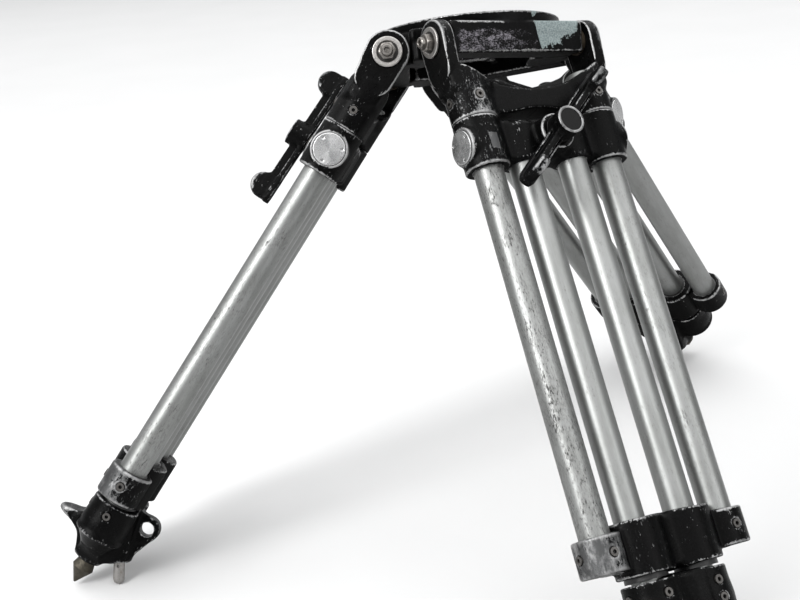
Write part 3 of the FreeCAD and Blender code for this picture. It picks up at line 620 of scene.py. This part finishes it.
def mesh_object(name, points, faces, matrix, values=None, at=None, smooth=True):
    mesh = bpy.data.meshes.new(name)
    turn = np.array(matrix)
    world = points @ turn[:3, :3].T + turn[:3, 3]
    mesh.from_pydata(world.tolist(), [], faces.tolist() if hasattr(faces, "tolist") else faces)
    for key, value in (values or {}).items():
        mesh.attributes.new(key, "FLOAT", "POINT").data.foreach_set("value", np.asarray(value, np.float32))
    if at is not None:
        vector = mesh.attributes.new("at", "FLOAT_VECTOR", "POINT")
        vector.data.foreach_set("vector", np.asarray(at, np.float32).ravel())
    mesh.polygons.foreach_set("use_smooth", [smooth] * len(mesh.polygons))
    mesh.update()
    normals = np.zeros(3 * len(points), np.float32)
    mesh.vertices.foreach_get("normal", normals)
    # How far each point faces down in the row frame: the casting shaders use it to paint shade under things
    # (fewer bare chips there) and to raise roughness
    below = mesh.attributes.new("below", "FLOAT", "POINT")
    below.data.foreach_set("value", np.clip(-normals[2::3], 0, 1))
    made = bpy.data.objects.new(name, mesh)
    bpy.context.scene.collection.objects.link(made)
    return made


def spot(points, centre, radius, fall):
    """1 within a radius of a point, down to 0 over a fall."""
    gap = np.linalg.norm(points - np.array(centre, float), axis=1)
    return np.clip(1 - (gap - radius) / fall, 0, 1)


def screw_wear(points, places):
    wear = np.zeros(len(points))
    for axis, side, across, face in places:
        centre = np.zeros(3)
        centre[list(AXIS_ORDER[axis])] = side * face, *across
        gap = np.linalg.norm(points - centre, axis=1)
        wear = np.maximum(wear, np.clip(1 - np.abs(gap - 5.5) / 0.8, 0, 1))
    return wear


# ---- Materials ----


class Shader:
    """A node material, made from the values handed to each node."""

    def __init__(self, name):
        self.material = bpy.data.materials.new(name)
        self.material.use_nodes = True
        self.tree = self.material.node_tree
        self.tree.nodes.clear()
        self.output = self.tree.nodes.new("ShaderNodeOutputMaterial")

    def node(self, kind, inputs=None, **settings):
        made = self.tree.nodes.new("ShaderNode" + kind)
        for key, value in settings.items():
            setattr(made, key, value)
        for key, value in (inputs or {}).items():
            self.put(made.inputs[key], value)
        return made

    def put(self, socket, value):
        if isinstance(value, bpy.types.NodeSocket):
            self.tree.links.new(value, socket)
        else:
            socket.default_value = value

    def math(self, operation, *values):
        made = self.node("Math", dict(enumerate(values)), operation=operation)
        return made.outputs[0]

    def add(self, *values):
        total = values[0]
        for value in values[1:]:
            total = self.math("ADD", total, value)
        return total

    def scaled(self, value, factor):
        return self.math("MULTIPLY", value, factor)

    def swing(self, value, amount):
        """A 0 to 1 noise as plus or minus half the amount."""
        return self.scaled(self.math("SUBTRACT", value, 0.5), amount)

    def step(self, value, low, high, to_low=0.0, to_high=1.0):
        made = self.node("MapRange", interpolation_type="SMOOTHSTEP")
        keys = ("Value", "From Min", "From Max", "To Min", "To Max")
        for key, item in zip(keys, (value, low, high, to_low, to_high)):
            self.put(made.inputs[key], item)
        return made.outputs[0]

    def attribute(self, name, output="Fac"):
        return self.node("Attribute", attribute_name=name).outputs[output]

    def at(self, stretch=(1, 1, 1)):
        """The piece's own millimetres, stretched."""
        place = self.attribute("at", "Vector")
        if stretch == (1, 1, 1):
            return place
        return self.node("Mapping", {"Vector": place, "Scale": stretch}).outputs[0]

    def noise(self, vector, scale, detail=3.0, rough=0.55, distort=0.0):
        made = self.node("TexNoise", {
            "Vector": vector, "Scale": scale, "Detail": detail, "Roughness": rough, "Distortion": distort,
        })
        return made.outputs["Fac"]

    def blend(self, share, first, second):
        made = self.node("Mix", data_type="RGBA")
        for socket, value in zip((made.inputs[0], made.inputs[6], made.inputs[7]), (share, first, second)):
            self.put(socket, value)
        return made.outputs[2]

    def bump(self, height, distance, strength=1.0):
        return self.node("Bump", {"Height": height, "Distance": distance, "Strength": strength}).outputs[0]

    def finish(self, **inputs):
        surface = self.node("BsdfPrincipled")
        for key, value in inputs.items():
            self.put(surface.inputs[key.replace("_", " ")], value)
        self.tree.links.new(surface.outputs[0], self.output.inputs[0])
        return self.material


def grey(value, warm=0.0):
    return (value * (1 + warm), value, value * (1 - warm), 1.0)


def enamel(s, dust):
    """Black enamel: glossy, with dust in its pores."""
    return s.blend(s.scaled(dust, 0.5), grey(0.0012), grey(0.0065, -0.03))


def painted_casting():
    """Black enamel over cast aluminium, chipped along its edges and rubbed bright where it is handled."""
    s = Shader("painted_casting")
    place = s.at()
    edge, crest, worn, ring = (s.attribute(n) for n in ("edge", "crest", "worn", "ring"))
    fine = s.noise(place, 0.62, 4, 0.65)
    streak = s.noise(s.at((1, 1, 0.34)), 0.30, 4, 0.62)
    broad = s.noise(place, 0.05, 3, 0.5)
    scratch = s.math(
        "MULTIPLY", s.step(s.noise(s.at((1, 1, 0.2)), 1.0, 2, 0.5), 0.62, 0.68),
        s.step(s.noise(place, 0.11, 2, 0.5), 0.46, 0.58),
    )
    level = s.add(
        s.scaled(edge, 2.3), s.scaled(crest, 0.12), worn, s.scaled(ring, 0.5), s.scaled(scratch, 0.72),
        s.swing(fine, 1.15), s.swing(streak, 1.5), s.swing(broad, 0.9),
    )
    # Painted shade: faces that point down lose wear, so fewer bare chips show and they stay darker; the same
    # mask makes them rougher below
    below = s.step(s.attribute("below"), 0.15, 0.6)
    level = s.math("SUBTRACT", level, s.scaled(below, 0.35))
    bare = s.step(level, 0.62, 0.67)
    scuff = s.step(level, 0.44, 0.62)
    dust = s.step(s.noise(place, 0.5, 5, 0.75), 0.5, 0.72)
    paint = s.blend(s.scaled(scuff, 0.5), enamel(s, dust), grey(0.028, -0.04))
    tone = s.add(s.noise(s.at((1, 1, 0.5)), 0.12, 4, 0.7), s.scaled(edge, 0.5), s.scaled(worn, -0.11))
    metal = s.blend(s.step(tone, 0.38, 0.72), grey(0.065, -0.01), grey(0.27))
    cast = s.noise(place, 1.1, 2, 0.5)
    painted = s.math("SUBTRACT", 1.0, bare)
    rough = s.add(
        0.30, s.swing(streak, 0.25), s.scaled(dust, 0.15), s.scaled(scuff, 0.1), s.scaled(below, 0.45)
    )
    height = s.add(s.scaled(cast, 0.26), s.scaled(bare, -0.16))
    return s.finish(
        Base_Color=s.blend(bare, paint, metal), Metallic=s.scaled(bare, 0.85), Specular_IOR_Level=0.05,
        Roughness=s.add(s.math("MULTIPLY", rough, painted), s.scaled(bare, 0.45)),
        Normal=s.bump(height, 0.001, 0.9),
    )


def crown_casting():
    """The crown's enamel, with the glue film of a lost cover on one side and a bare patch beside it."""
    s = Shader("crown_casting")
    place = s.at()
    edge, crest, worn, film, patch = (s.attribute(n) for n in ("edge", "crest", "worn", "film", "patch"))
    fine = s.noise(place, 0.62, 4, 0.65)
    middle = s.noise(place, 0.22, 4, 0.6)
    broad = s.noise(place, 0.045, 3, 0.5)
    level = s.add(
        s.scaled(edge, 2.2), s.scaled(crest, 0.1), worn,
        s.swing(fine, 1.1), s.swing(middle, 1.3), s.swing(broad, 0.9),
    )
    # Painted shade: faces that point down lose wear, so fewer bare chips show and they stay darker; the same
    # mask makes them rougher below
    below = s.step(s.attribute("below"), 0.15, 0.6)
    level = s.math("SUBTRACT", level, s.scaled(below, 0.35))
    bare = s.step(level, 0.60, 0.70)
    dust = s.step(s.noise(place, 0.4, 5, 0.7), 0.48, 0.72)
    flat = s.node("CombineXYZ", {0: s.scaled(s.attribute("t"), 0.5), 1: s.attribute("z")}).outputs[0]
    speckle = s.noise(flat, 0.75, 5, 0.8)
    cloud = s.noise(flat, 0.13, 3, 0.6)
    shown = s.step(s.add(s.scaled(film, 0.62), s.swing(speckle, 2.6), s.swing(cloud, 1.7)), 0.52, 0.92)
    paint = s.blend(s.scaled(shown, 0.9), enamel(s, dust), (0.185, 0.175, 0.195, 1))
    ragged = s.add(patch, s.swing(s.noise(place, 0.13, 4, 0.75), 1.9), s.swing(fine, 0.5))
    clean = s.math("MULTIPLY", s.step(ragged, 0.44, 0.50), s.step(patch, 0.02, 0.12))
    tone = s.noise(place, 0.6, 4, 0.75)
    primer = s.blend(s.step(tone, 0.35, 0.62), (0.10, 0.125, 0.125, 1), (0.21, 0.245, 0.245, 1))
    metal = s.blend(s.step(tone, 0.36, 0.64), grey(0.08), grey(0.30))
    height = s.add(
        s.scaled(s.noise(place, 1.1, 2), 0.2), s.scaled(bare, -0.15),
        s.scaled(clean, -0.2), s.scaled(shown, 0.1),
    )
    return s.finish(
        Base_Color=s.blend(clean, s.blend(bare, paint, metal), primer), Specular_IOR_Level=0.07,
        Metallic=s.math("MULTIPLY", s.scaled(bare, 0.85), s.math("SUBTRACT", 1.0, clean)),
        Roughness=s.add(
            0.32, s.swing(middle, 0.2), s.scaled(shown, 0.25), s.scaled(clean, 0.25), s.scaled(below, 0.45)
        ),
        Normal=s.bump(height, 0.001, 0.9),
    )


def satin_tube():
    """Drawn aluminium tube, dulled by handling, with pits and short dark scratches along it."""
    s = Shader("satin_tube")
    place = s.at()
    worn = s.attribute("worn")
    drawn = s.noise(s.at((1, 1, 0.012)), 1.5, 4, 0.65)
    cloud = s.noise(s.at((1, 1, 0.25)), 0.06, 4, 0.65)
    flecks = s.noise(s.at((1, 1, 0.30)), 0.70, 4, 0.72, 0.5)
    specks = s.noise(place, 1.0, 2, 0.6)
    where = s.noise(s.at((1, 1, 0.5)), 0.07, 3, 0.6)
    level = s.add(flecks, s.swing(where, 0.5), s.scaled(worn, 0.20), s.swing(specks, 0.14))
    pits = s.step(level, 0.745, 0.80)
    smear = s.step(level, 0.56, 0.78)
    base = s.blend(s.step(cloud, 0.3, 0.7), (0.185, 0.190, 0.184, 1), (0.235, 0.240, 0.236, 1))
    base = s.blend(s.scaled(s.step(drawn, 0.4, 0.75), 0.25), base, grey(0.14, 0.02))
    base = s.blend(s.scaled(smear, 0.5), base, grey(0.09, 0.03))
    base = s.blend(pits, base, grey(0.012, 0.05))
    height = s.add(s.scaled(drawn, 0.06), s.scaled(pits, -0.3), s.scaled(specks, 0.02))
    return s.finish(
        Base_Color=base,
        Metallic=s.math("SUBTRACT", 0.85, s.scaled(pits, 0.8)),
        Roughness=s.add(0.42, s.swing(cloud, 0.12), s.swing(drawn, 0.10), s.scaled(smear, 0.12)),
        Normal=s.bump(height, 0.001, 0.6),
    )


def turned_face():
    """Face-turned aluminium: fine circles about the middle, with a few knocks."""
    s = Shader("turned_face")
    place = s.at()
    split = s.node("SeparateXYZ", {"Vector": place})
    across = s.math("SQRT", s.add(
        s.math("POWER", split.outputs[1], 2.0), s.math("POWER", split.outputs[2], 2.0)
    ))
    circles = {"W": s.scaled(across, 2.4), "Scale": 1.0, "Detail": 3.0}
    rings = s.node("TexNoise", circles, noise_dimensions="1D")
    spots = s.step(s.noise(place, 0.5, 3, 0.6), 0.72, 0.78)
    base = s.blend(s.scaled(spots, 0.6), s.blend(rings.outputs["Fac"], grey(0.40), grey(0.52)), grey(0.12))
    return s.finish(
        Base_Color=base, Metallic=0.95, Roughness=s.add(0.27, s.swing(s.noise(place, 0.2), 0.1)),
        Anisotropic=0.75, Tangent=s.attribute("circle", "Vector"),
        Normal=s.bump(s.add(s.scaled(rings.outputs["Fac"], 0.05), s.scaled(spots, -0.1)), 0.001, 0.6),
    )


def dull_steel(name, light, dark, rust, roughness):
    """Plated or forged steel with grime in patches."""
    s = Shader(name)
    place = s.node("TexCoord").outputs["Object"]
    cloud = s.noise(place, 160, 4, 0.65)
    fine = s.noise(place, 900, 3, 0.6)
    stain = s.step(s.add(s.noise(place, 260, 4, 0.7), s.swing(fine, 0.3)), 0.52, 0.68)
    base = s.blend(cloud, light, dark)
    base = s.blend(s.scaled(stain, 0.7), base, rust)
    return s.finish(
        Base_Color=base,
        Metallic=s.math("SUBTRACT", 0.95, s.scaled(stain, 0.45)),
        Roughness=s.add(roughness, s.swing(cloud, 0.2), s.scaled(stain, 0.2)),
        Normal=s.bump(s.add(s.scaled(fine, 0.1), s.scaled(stain, 0.1)), 0.001, 0.5),
    )


def washer_steel():
    """Bright rim, and the dish round the nut painted near black as shade in its recess."""
    s = Shader("washer_steel")
    place = s.at()
    cloud = s.noise(place, 0.35, 4, 0.65)
    radius = s.attribute("radius")
    # Painted shade: inside the rim the dish is painted near black and made less metallic
    dish = s.step(s.add(radius, s.swing(s.noise(place, 0.8, 3), 1.6)), 11.0, 12.0, 1.0, 0.0)
    base = s.blend(dish, s.blend(cloud, grey(0.42, 0.03), grey(0.22, 0.06)), grey(0.015, 0.1))
    return s.finish(
        Base_Color=base, Metallic=s.math("SUBTRACT", 0.92, s.scaled(dish, 0.7)),
        Roughness=s.add(0.30, s.swing(cloud, 0.2), s.scaled(dish, 0.2)),
        Normal=s.bump(s.noise(place, 2.0, 3), 0.0003, 0.5),
    )


def plain_bush(name, colour, metal, roughness, shine=0.35):
    s = Shader(name)
    place = s.node("TexCoord").outputs["Object"]
    cloud = s.noise(place, 220, 4, 0.65)
    fine = s.noise(place, 1200, 2)
    darker = tuple(c * 0.5 for c in colour[:3]) + (1,)
    return s.finish(
        Base_Color=s.blend(cloud, colour, darker), Metallic=metal, Specular_IOR_Level=shine,
        Roughness=s.add(roughness, s.swing(cloud, 0.2)),
        Normal=s.bump(fine, 0.0002, 0.4),
    )


PAINT = painted_casting()
CROWN_PAINT = crown_casting()
TUBE = satin_tube()
TURNED = turned_face()
STEEL = dull_steel("dull_steel", grey(0.26, 0.06), grey(0.09, 0.08), (0.03, 0.024, 0.015, 1), 0.30)
WASHER = washer_steel()
PIN = dull_steel("pin_steel", grey(0.34, 0.03), grey(0.22, 0.05), (0.10, 0.08, 0.055, 1), 0.38)
SPIKE = dull_steel(
    "spike_steel", (0.085, 0.078, 0.062, 1), (0.03, 0.026, 0.020, 1), (0.012, 0.009, 0.006, 1), 0.55
)
SCREW = dull_steel("screw_steel", grey(0.13, 0.04), grey(0.05, 0.06), (0.02, 0.015, 0.010, 1), 0.4)
BRONZE = plain_bush("bearing_bronze", (0.42, 0.27, 0.12, 1), 0.9, 0.4)
GRIMY_BRONZE = plain_bush("grimy_bronze", (0.035, 0.026, 0.016, 1), 0.3, 0.5)
NYLON = plain_bush("bush_nylon", (0.012, 0.012, 0.012, 1), 0.0, 0.45)
CAP = plain_bush("cap_enamel", (0.004, 0.004, 0.004, 1), 0.0, 0.34, 0.10)


# ---- Pieces ----


def paint(made, material, slot, body, node):
    made.data.materials.append(material)
    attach(made, body)
    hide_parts(node)


def casting(name, solid, leg, body, node, worn, ring, turn=0.0):
    points = solid.points
    if turn:
        points = turned_about_spindle(points, turn)
    values = {"edge": solid.edge, "crest": solid.crest, "worn": worn, "ring": ring}
    made = mesh_object(
        name, points, solid.quads, LEG_FRAMES[leg], values, solid.points + NOISE_OFFSET[leg]
    )
    paint(made, PAINT, "black_casting", body, node)


def turned_about_spindle(points, angle):
    """Points turned about the lock spindle, in the sense of the leg's w axis."""
    turn = Matrix.Rotation(math.radians(angle), 3, "Y")
    centre = np.array((0, 0, BRAKE_HEIGHT))
    return (points - centre) @ np.array(turn).T + centre


SOLIDS = {
    "yoke": (yoke, (-103, -25, -25), (103, 25, 94), 1.0),
    "slider": (slider, (-103, -28, 92), (103, 33, 150), 1.0),
    "guide_casting": (guide_casting, (-103, -32, 527), (103, 32, 583), 1.0),
    "foot_casting": (foot_casting, (-61, -62, 588), (61, 60, 672), 1.0),
    "lever": (lever, (-17, 33, 28), (17, 66, 215), 0.7),
}
BODIES = {
    "yoke": "upper_leg", "guide_casting": "upper_leg",
    "slider": "lower_leg", "foot_casting": "lower_leg", "lever": "lock_lever",
}


def general_wear(kind, leg, q):
    """How much each point is rubbed, beyond what its edges say."""
    u, w, v = q.T
    front = np.clip(w / 24, 0, 1)
    wear = np.full(len(q), -0.12)
    if kind == "yoke":
        ear = (np.abs(u) > 88) & (v < 34)
        wear = np.where(ear, -0.12, wear)
        wear += np.where(v > 36, 0.10 * front, 0)
        wear -= 0.30 * np.clip((62 - np.abs(u)) / 8, 0, 1)
        rim = np.clip((np.hypot(w, np.minimum(v, 0)) - 21) / 2, 0, 1) * (np.abs(u) > 95)
        wear += (0.45 if leg == "front" else 0.25) * rim * ear
        if leg == "front":
            wear += 0.42 * spot(q, (-82, 18, 72), 14, 24)
    if kind == "slider":
        wear += 0.30 * np.clip((v - 138) / 10, 0, 1) * (np.abs(u) > 50)
        if leg == "front":
            wear += 0.34 * spot(q, (-80, 20, 122), 14, 24) * (u > -99)
            window = np.clip(5.5 - np.abs(u + 75), 0, 1) * np.clip(9 - np.abs(v - 125), 0, 1)
            wear += 0.9 * window * (w > 10)
    if kind == "guide_casting":
        outer = np.clip((np.abs(u) - 56) / 5, 0, 1)
        wear += 0.15 * outer
        if leg == "left":
            wear += (0.46 + 0.34 * np.clip(w / 16, -1, 1)) * outer * (u > 0)
        if leg == "front":
            clear = spot(q, (-95, 14, 556), 9, 14)
            wear += (0.50 + 0.50 * clear) * outer * (u < 0)
    if kind == "foot_casting":
        wear += 0.6 * spot(q, (0, 50, 631), 9, 12)
        rim = np.clip(1 - np.abs(np.hypot(np.abs(u) - INNER_TUBE, w - TUBE_PLANE) - 26.5) / 2.5, 0, 1)
        wear += 0.75 * rim * np.clip(1 - np.abs(v - 634) / 3.5, 0, 1) * (np.abs(u) > 30)
        wear += 0.25 * np.clip((v - 662) / 6, 0, 1) - 0.2 * (v < 625)
        wear += 0.15 * np.clip((594 - v) / 6, 0, 1)
    if kind == "lever":
        wear += 0.45 * np.clip((w - 56.2) / 1.0, 0, 1)
        wear += 0.12 * np.clip((np.abs(v - BRAKE_HEIGHT) - 66) / 12, 0, 1) * np.clip((w - 56) / 5, 0, 1)
    return wear


SCREWS = {"yoke": YOKE_SCREWS, "guide_casting": GUIDE_SCREWS, "foot_casting": FOOT_SCREWS}


def make_castings():
    for kind, (shape, low, high, voxel) in SOLIDS.items():
        solid = Solid(shape, low, high, voxel)
        ring = screw_wear(solid.points, SCREWS.get(kind, ()))
        if kind == "foot_casting":
            ring *= np.where(np.abs(solid.points[:, 0]) > 50, 0.3, 1)
        for leg in LEGS:
            worn = general_wear(kind, leg, solid.points)
            turn = -LEVER_ANGLE[leg] if kind == "lever" else 0
            body = f"{leg}_{BODIES[kind]}"
            casting(f"{leg}_{kind}_cast", solid, leg, body, f"{leg}_{kind}", worn, ring, turn)


def make_crown():
    solid = Solid(crown, (-127, -127, -13), (127, 127, 32), 1.4)
    q = solid.points
    r, t, z = turned_side(q.T, -60)
    face = np.clip((r - (PANEL_REACH - 1.5)) / 1, 0, 1) * (np.abs(t) < 84)
    seam = 25.5 - 0.235 * z
    film = face * np.clip((seam - t) / 3, 0, 1) * np.clip((t + 81) / 5, 0, 1) * np.clip((14 - z) / 4, 0, 1)
    film = film * np.clip(0.95 - np.maximum(t + 15, 0) / 60, 0, 1)
    slope = 10 - (80 - t) * 0.42
    patch = face * np.clip((t - seam) / 1.2, 0, 1) * np.clip((z - slope) / 18 + 0.5, 0, 1)
    patch = patch * np.clip((81 - t) / 4, 0, 1)
    rim = (np.hypot(q[:, 0], q[:, 1]) > 95) & (z > 24)
    reach = [turned_side(q.T, direction)[0] for direction in CROWN_SIDES]
    corner = (np.max([-r for r in reach], axis=0) > 96) & (np.max(reach, axis=0) < 103)
    values = {
        "edge": solid.edge, "crest": solid.crest, "worn": np.where(rim, -0.65, np.where(corner, -1.2, -0.15)),
        "film": film, "patch": patch, "t": t, "z": z,
    }
    made = mesh_object("crown_cast", q, solid.quads, CROWN_FRAME, values, q + NOISE_OFFSET["crown"])
    paint(made, CROWN_PAINT, "black_casting", "crown", "crown")


def lathe(profile, steps=72):
    """Closed solid from (radius, height) pairs turned about z; ends on the axis have radius 0."""
    turns = 2 * math.pi * np.arange(steps) / steps
    points, rings = [], []
    for radius, height in profile:
        if radius < 1e-6:
            rings.append([len(points)])
            points.append((0, 0, height))
        else:
            rings.append(list(range(len(points), len(points) + steps)))
            points += [(radius * math.cos(t), radius * math.sin(t), height) for t in turns]
    faces = []
    for one, two in zip(rings, rings[1:]):
        for i in range(steps):
            j = (i + 1) % steps
            if len(one) == 1:
                faces.append((one[0], two[j], two[i]))
            elif len(two) == 1:
                faces.append((one[i], one[j], two[0]))
            else:
                faces.append((one[i], one[j], two[j], two[i]))
    return np.array(points, float), faces


def long_rings(outer, inner, start, end, chamfer, spacing):
    """The same outline with the long walls divided, so that they can carry values."""
    count = max(1, int((end - start) / spacing))
    outside = [(outer, start + chamfer + (end - start - 2 * chamfer) * i / count) for i in range(count + 1)]
    inside = [(inner, h) for _, h in reversed(outside)]
    return [(inner + chamfer, start), (outer - chamfer, start), *outside, (outer - chamfer, end),
            (inner + chamfer, end), *inside, (inner + chamfer, start)]


def closed_lathe(profile, steps=72):
    """A turned ring: the outline closes on itself, so its first and last ring are one."""
    points, faces = lathe(profile[:-1], steps)
    count = len(profile) - 1
    first, last = 0, (count - 1) * steps
    for i in range(steps):
        j = (i + 1) % steps
        faces.append((last + i, last + j, first + j, first + i))
    return points, faces


def repeated(points, faces, places):
    """Copies of one mesh, each moved by a function of its points."""
    copies = [tuple(i + n * len(points) for i in face) for n in range(len(places)) for face in faces]
    return np.concatenate([place(points) for place in places]), copies


def tube_place(u):
    return lambda q: q + np.array((u, TUBE_PLANE, 0))


TUBE_WEAR = {("front", "outer_tubes"): (0.75, 0.25), ("left", "outer_tubes"): (0.0, 0.45)}


def make_tubes():
    for leg in LEGS:
        for kind, place, start, end, body in (
            ("outer_tubes", OUTER_TUBE, OUTER_TUBE_TOP, GUIDE_BOTTOM, "upper_leg"),
            ("inner_tubes", INNER_TUBE, INNER_TUBE_TOP, INNER_TUBE_END, "lower_leg"),
        ):
            tube, faces = closed_lathe(long_rings(TUBE_RADIUS, TUBE_BORE, start, end, 0.6, 12), 80)
            q, faces = repeated(tube, faces, [tube_place(side * place) for side in SIDES])
            worn = np.repeat(TUBE_WEAR.get((leg, kind), (0.0, 0.0)), len(tube))
            made = mesh_object(
                f"{leg}_{kind}_drawn", q, faces, LEG_FRAMES[leg], {"worn": worn}, q + NOISE_OFFSET[leg]
            )
            paint(made, TUBE, "tube_aluminium", f"{leg}_{body}", f"{leg}_{kind}")


def joined(solid, places):
    """Copies of one solid at several places, each a function of its points that may mirror them."""
    points, quads = [], []
    for mirrored, place in places:
        faces = solid.quads[:, ::-1] if mirrored else solid.quads
        quads.append(faces + sum(len(made) for made in points))
        points.append(place(solid.points))
    return np.concatenate(points), np.concatenate(quads)


def make_brake_caps():
    half = 18
    low = (CAP_BACK, TUBE_PLANE - half, BRAKE_HEIGHT - half)
    solid = Solid(brake_cap, low, (CAP_FACE, TUBE_PLANE + half, BRAKE_HEIGHT + half), 0.45)
    middle = np.array((0, TUBE_PLANE, BRAKE_HEIGHT))
    places = [(side < 0, lambda q, side=side: q * np.array((side, 1, 1))) for side in SIDES]
    points, quads = joined(solid, places)
    centred = points - middle
    around = np.stack([np.zeros(len(centred)), -centred[:, 2], centred[:, 1]], axis=1)
    for leg in LEGS:
        matrix = LEG_FRAMES[leg]
        made = mesh_object(f"{leg}_brake_caps_turned", points, quads, matrix, {}, centred)
        turned = around @ np.array(matrix.to_3x3().normalized()).T
        circle = made.data.attributes.new("circle", "FLOAT_VECTOR", "POINT")
        circle.data.foreach_set("vector", turned.astype(np.float32).ravel())
        paint(made, TURNED, "turned_aluminium", f"{leg}_lower_leg", f"{leg}_brake_caps")


EAR_FACE = 102.8
UP = np.array((0, 0, 1))


def hinge_axes(direction):
    """Outward and along the hinge bolt, in the crown's frame."""
    turn = math.radians(direction)
    out = np.array((math.cos(turn), math.sin(turn), 0))
    return out, np.array((-math.sin(turn), math.cos(turn), 0))


def hinge_place(direction, side):
    """From a hinge end's own frame, u outward from the washer's back, to the crown's."""
    out, bolt = hinge_axes(direction)

    def place(q):
        return out * (HINGE_REACH + q[:, 1:2]) + bolt * side * (EAR_FACE + q[:, :1]) + UP * q[:, 2:]

    return side > 0, place


def bolt_place(direction):
    """From a hinge bolt's own frame, z along it, to the crown's."""
    out, bolt = hinge_axes(direction)
    return lambda q: out * (HINGE_REACH + q[:, :1]) + bolt * q[:, 2:] - UP * q[:, 1:2]


def make_hinge_hardware():
    ends = [hinge_place(direction, side) for direction in CROWN_SIDES for side in SIDES]
    for name, shape, high, half, voxel, material in (
        ("hinge_washers", hinge_washer, WASHER_THICK, WASHER_RADIUS, 0.5, WASHER),
        ("hinge_nuts", hinge_nut, NUT_FACE, 9.9, 0.35, STEEL),
    ):
        solid = Solid(shape, (0, -half, -half), (high, half, half), voxel)
        points, quads = joined(solid, ends)
        radius = np.tile(np.linalg.norm(solid.points[:, 1:], axis=1), len(ends))
        made = mesh_object(f"{name}_turned", points, quads, CROWN_FRAME, {"radius": radius}, points)
        paint(made, material, "steel", "crown", name)
    # A bolt's end: the centre hole, its rim and the chamfer
    profile = [(0, -114), (3.1, -114), (3.1, -117.1), (3.5, -117.5), (5.1, -117.5), (BOLT_RADIUS, -116.6)]
    profile += [(radius, -height) for radius, height in reversed(profile)]
    points, faces = repeated(*lathe(profile), [bolt_place(direction) for direction in CROWN_SIDES])
    made = mesh_object("hinge_bolts_turned", points, faces, CROWN_FRAME, {}, points)
    made.data.set_sharp_from_angle(angle=math.radians(35))
    paint(made, STEEL, "steel", "crown", "hinge_bolts")


NODE_MATERIALS = {
    "hinge_bushes": GRIMY_BRONZE,
    "guide_bushes": NYLON, "tube_screws": SCREW, "inner_tube_screws": SCREW, "spike": SPIKE,
    "spreader_pin": PIN, "brake_shoe_near": BRONZE, "brake_shoe_far": BRONZE, "lock_spindle": STEEL,
    "lever_cap": CAP,
}


def dress_nodes():
    for name, node in frame["nodes"].items():
        for ending, material in NODE_MATERIALS.items():
            if name == ending or name.endswith("_" + ending):
                node.data.materials.clear()
                node.data.materials.append(material)


# ---- Stage, light and camera ----

CAMERA_PLACE = Vector((-0.02139, -1.52918, 0.79594))
CAMERA_RIGHT = Vector((0.997432, 0.003163, -0.071555))
CAMERA_UP = Vector((0.066487, 0.330682, 0.941397))
CAMERA_BACK = Vector((0.026639, -0.943737, 0.329622))
CAMERA_LENS = 59.83
CAMERA_SHIFT = (0.030, 0.0105)


def make_camera():
    data = bpy.data.cameras.new("camera")
    data.lens = CAMERA_LENS
    data.sensor_width = 36
    data.shift_x, data.shift_y = CAMERA_SHIFT
    data.clip_start, data.clip_end = 0.05, 50
    camera = bpy.data.objects.new("camera", data)
    turn = Matrix((CAMERA_RIGHT, CAMERA_UP, CAMERA_BACK)).transposed()
    camera.matrix_world = Matrix.Translation(CAMERA_PLACE) @ turn.to_quaternion().to_matrix().to_4x4()
    bpy.context.scene.collection.objects.link(camera)
    bpy.context.scene.camera = camera


def area_light(name, place, aim, size, power, colour=(1, 1, 1)):
    data = bpy.data.lights.new(name, "AREA")
    data.shape, data.size, data.size_y = "RECTANGLE", size[0], size[1]
    data.energy, data.color = power, colour
    light = bpy.data.objects.new(name, data)
    light.location = place
    light.rotation_mode = "QUATERNION"
    light.rotation_quaternion = (Vector(aim) - Vector(place)).to_track_quat("-Z", "Y")
    bpy.context.scene.collection.objects.link(light)


def make_stage():
    s = Shader("pale_floor")
    place = s.node("TexCoord").outputs["Object"]
    cloud = s.noise(place, 3, 3)
    material = s.finish(
        Base_Color=s.blend(cloud, grey(0.50), grey(0.53)), Roughness=s.add(0.7, s.swing(cloud, 0.1)),
        Normal=s.bump(s.noise(place, 400, 2), 0.0002, 0.2), Specular_IOR_Level=0.1,
    )
    half = 14.0
    points = np.array([(-half, -half, 0), (half, -half, 0), (half, half, 0), (-half, half, 0)], float)
    floor = mesh_object("floor", points, [(0, 1, 2, 3)], Matrix.Identity(4), smooth=False)
    floor.data.materials.append(material)
    world = bpy.data.worlds.new("world")
    world.use_nodes = True
    sky = world.node_tree.nodes["Background"].inputs
    sky[0].default_value = (0.96, 0.98, 1.0, 1)
    sky[1].default_value = 0.35
    bpy.context.scene.world = world
    area_light("ceiling", (0, 0, 6.0), (0, 0.001, 0), (18, 18), 2250)
    area_light("key", (-1.9, -1.9, 2.0), (0, 0, 0.35), (0.9, 1.5), 85)
    area_light("right", (1.8, -1.3, 0.9), (0.1, 0, 0.3), (0.4, 1.4), 8)
    bpy.context.scene.view_settings.view_transform = "Standard"


make_camera()
make_stage()
make_crown()
make_castings()
make_tubes()
make_brake_caps()
make_hinge_hardware()
dress_nodes()
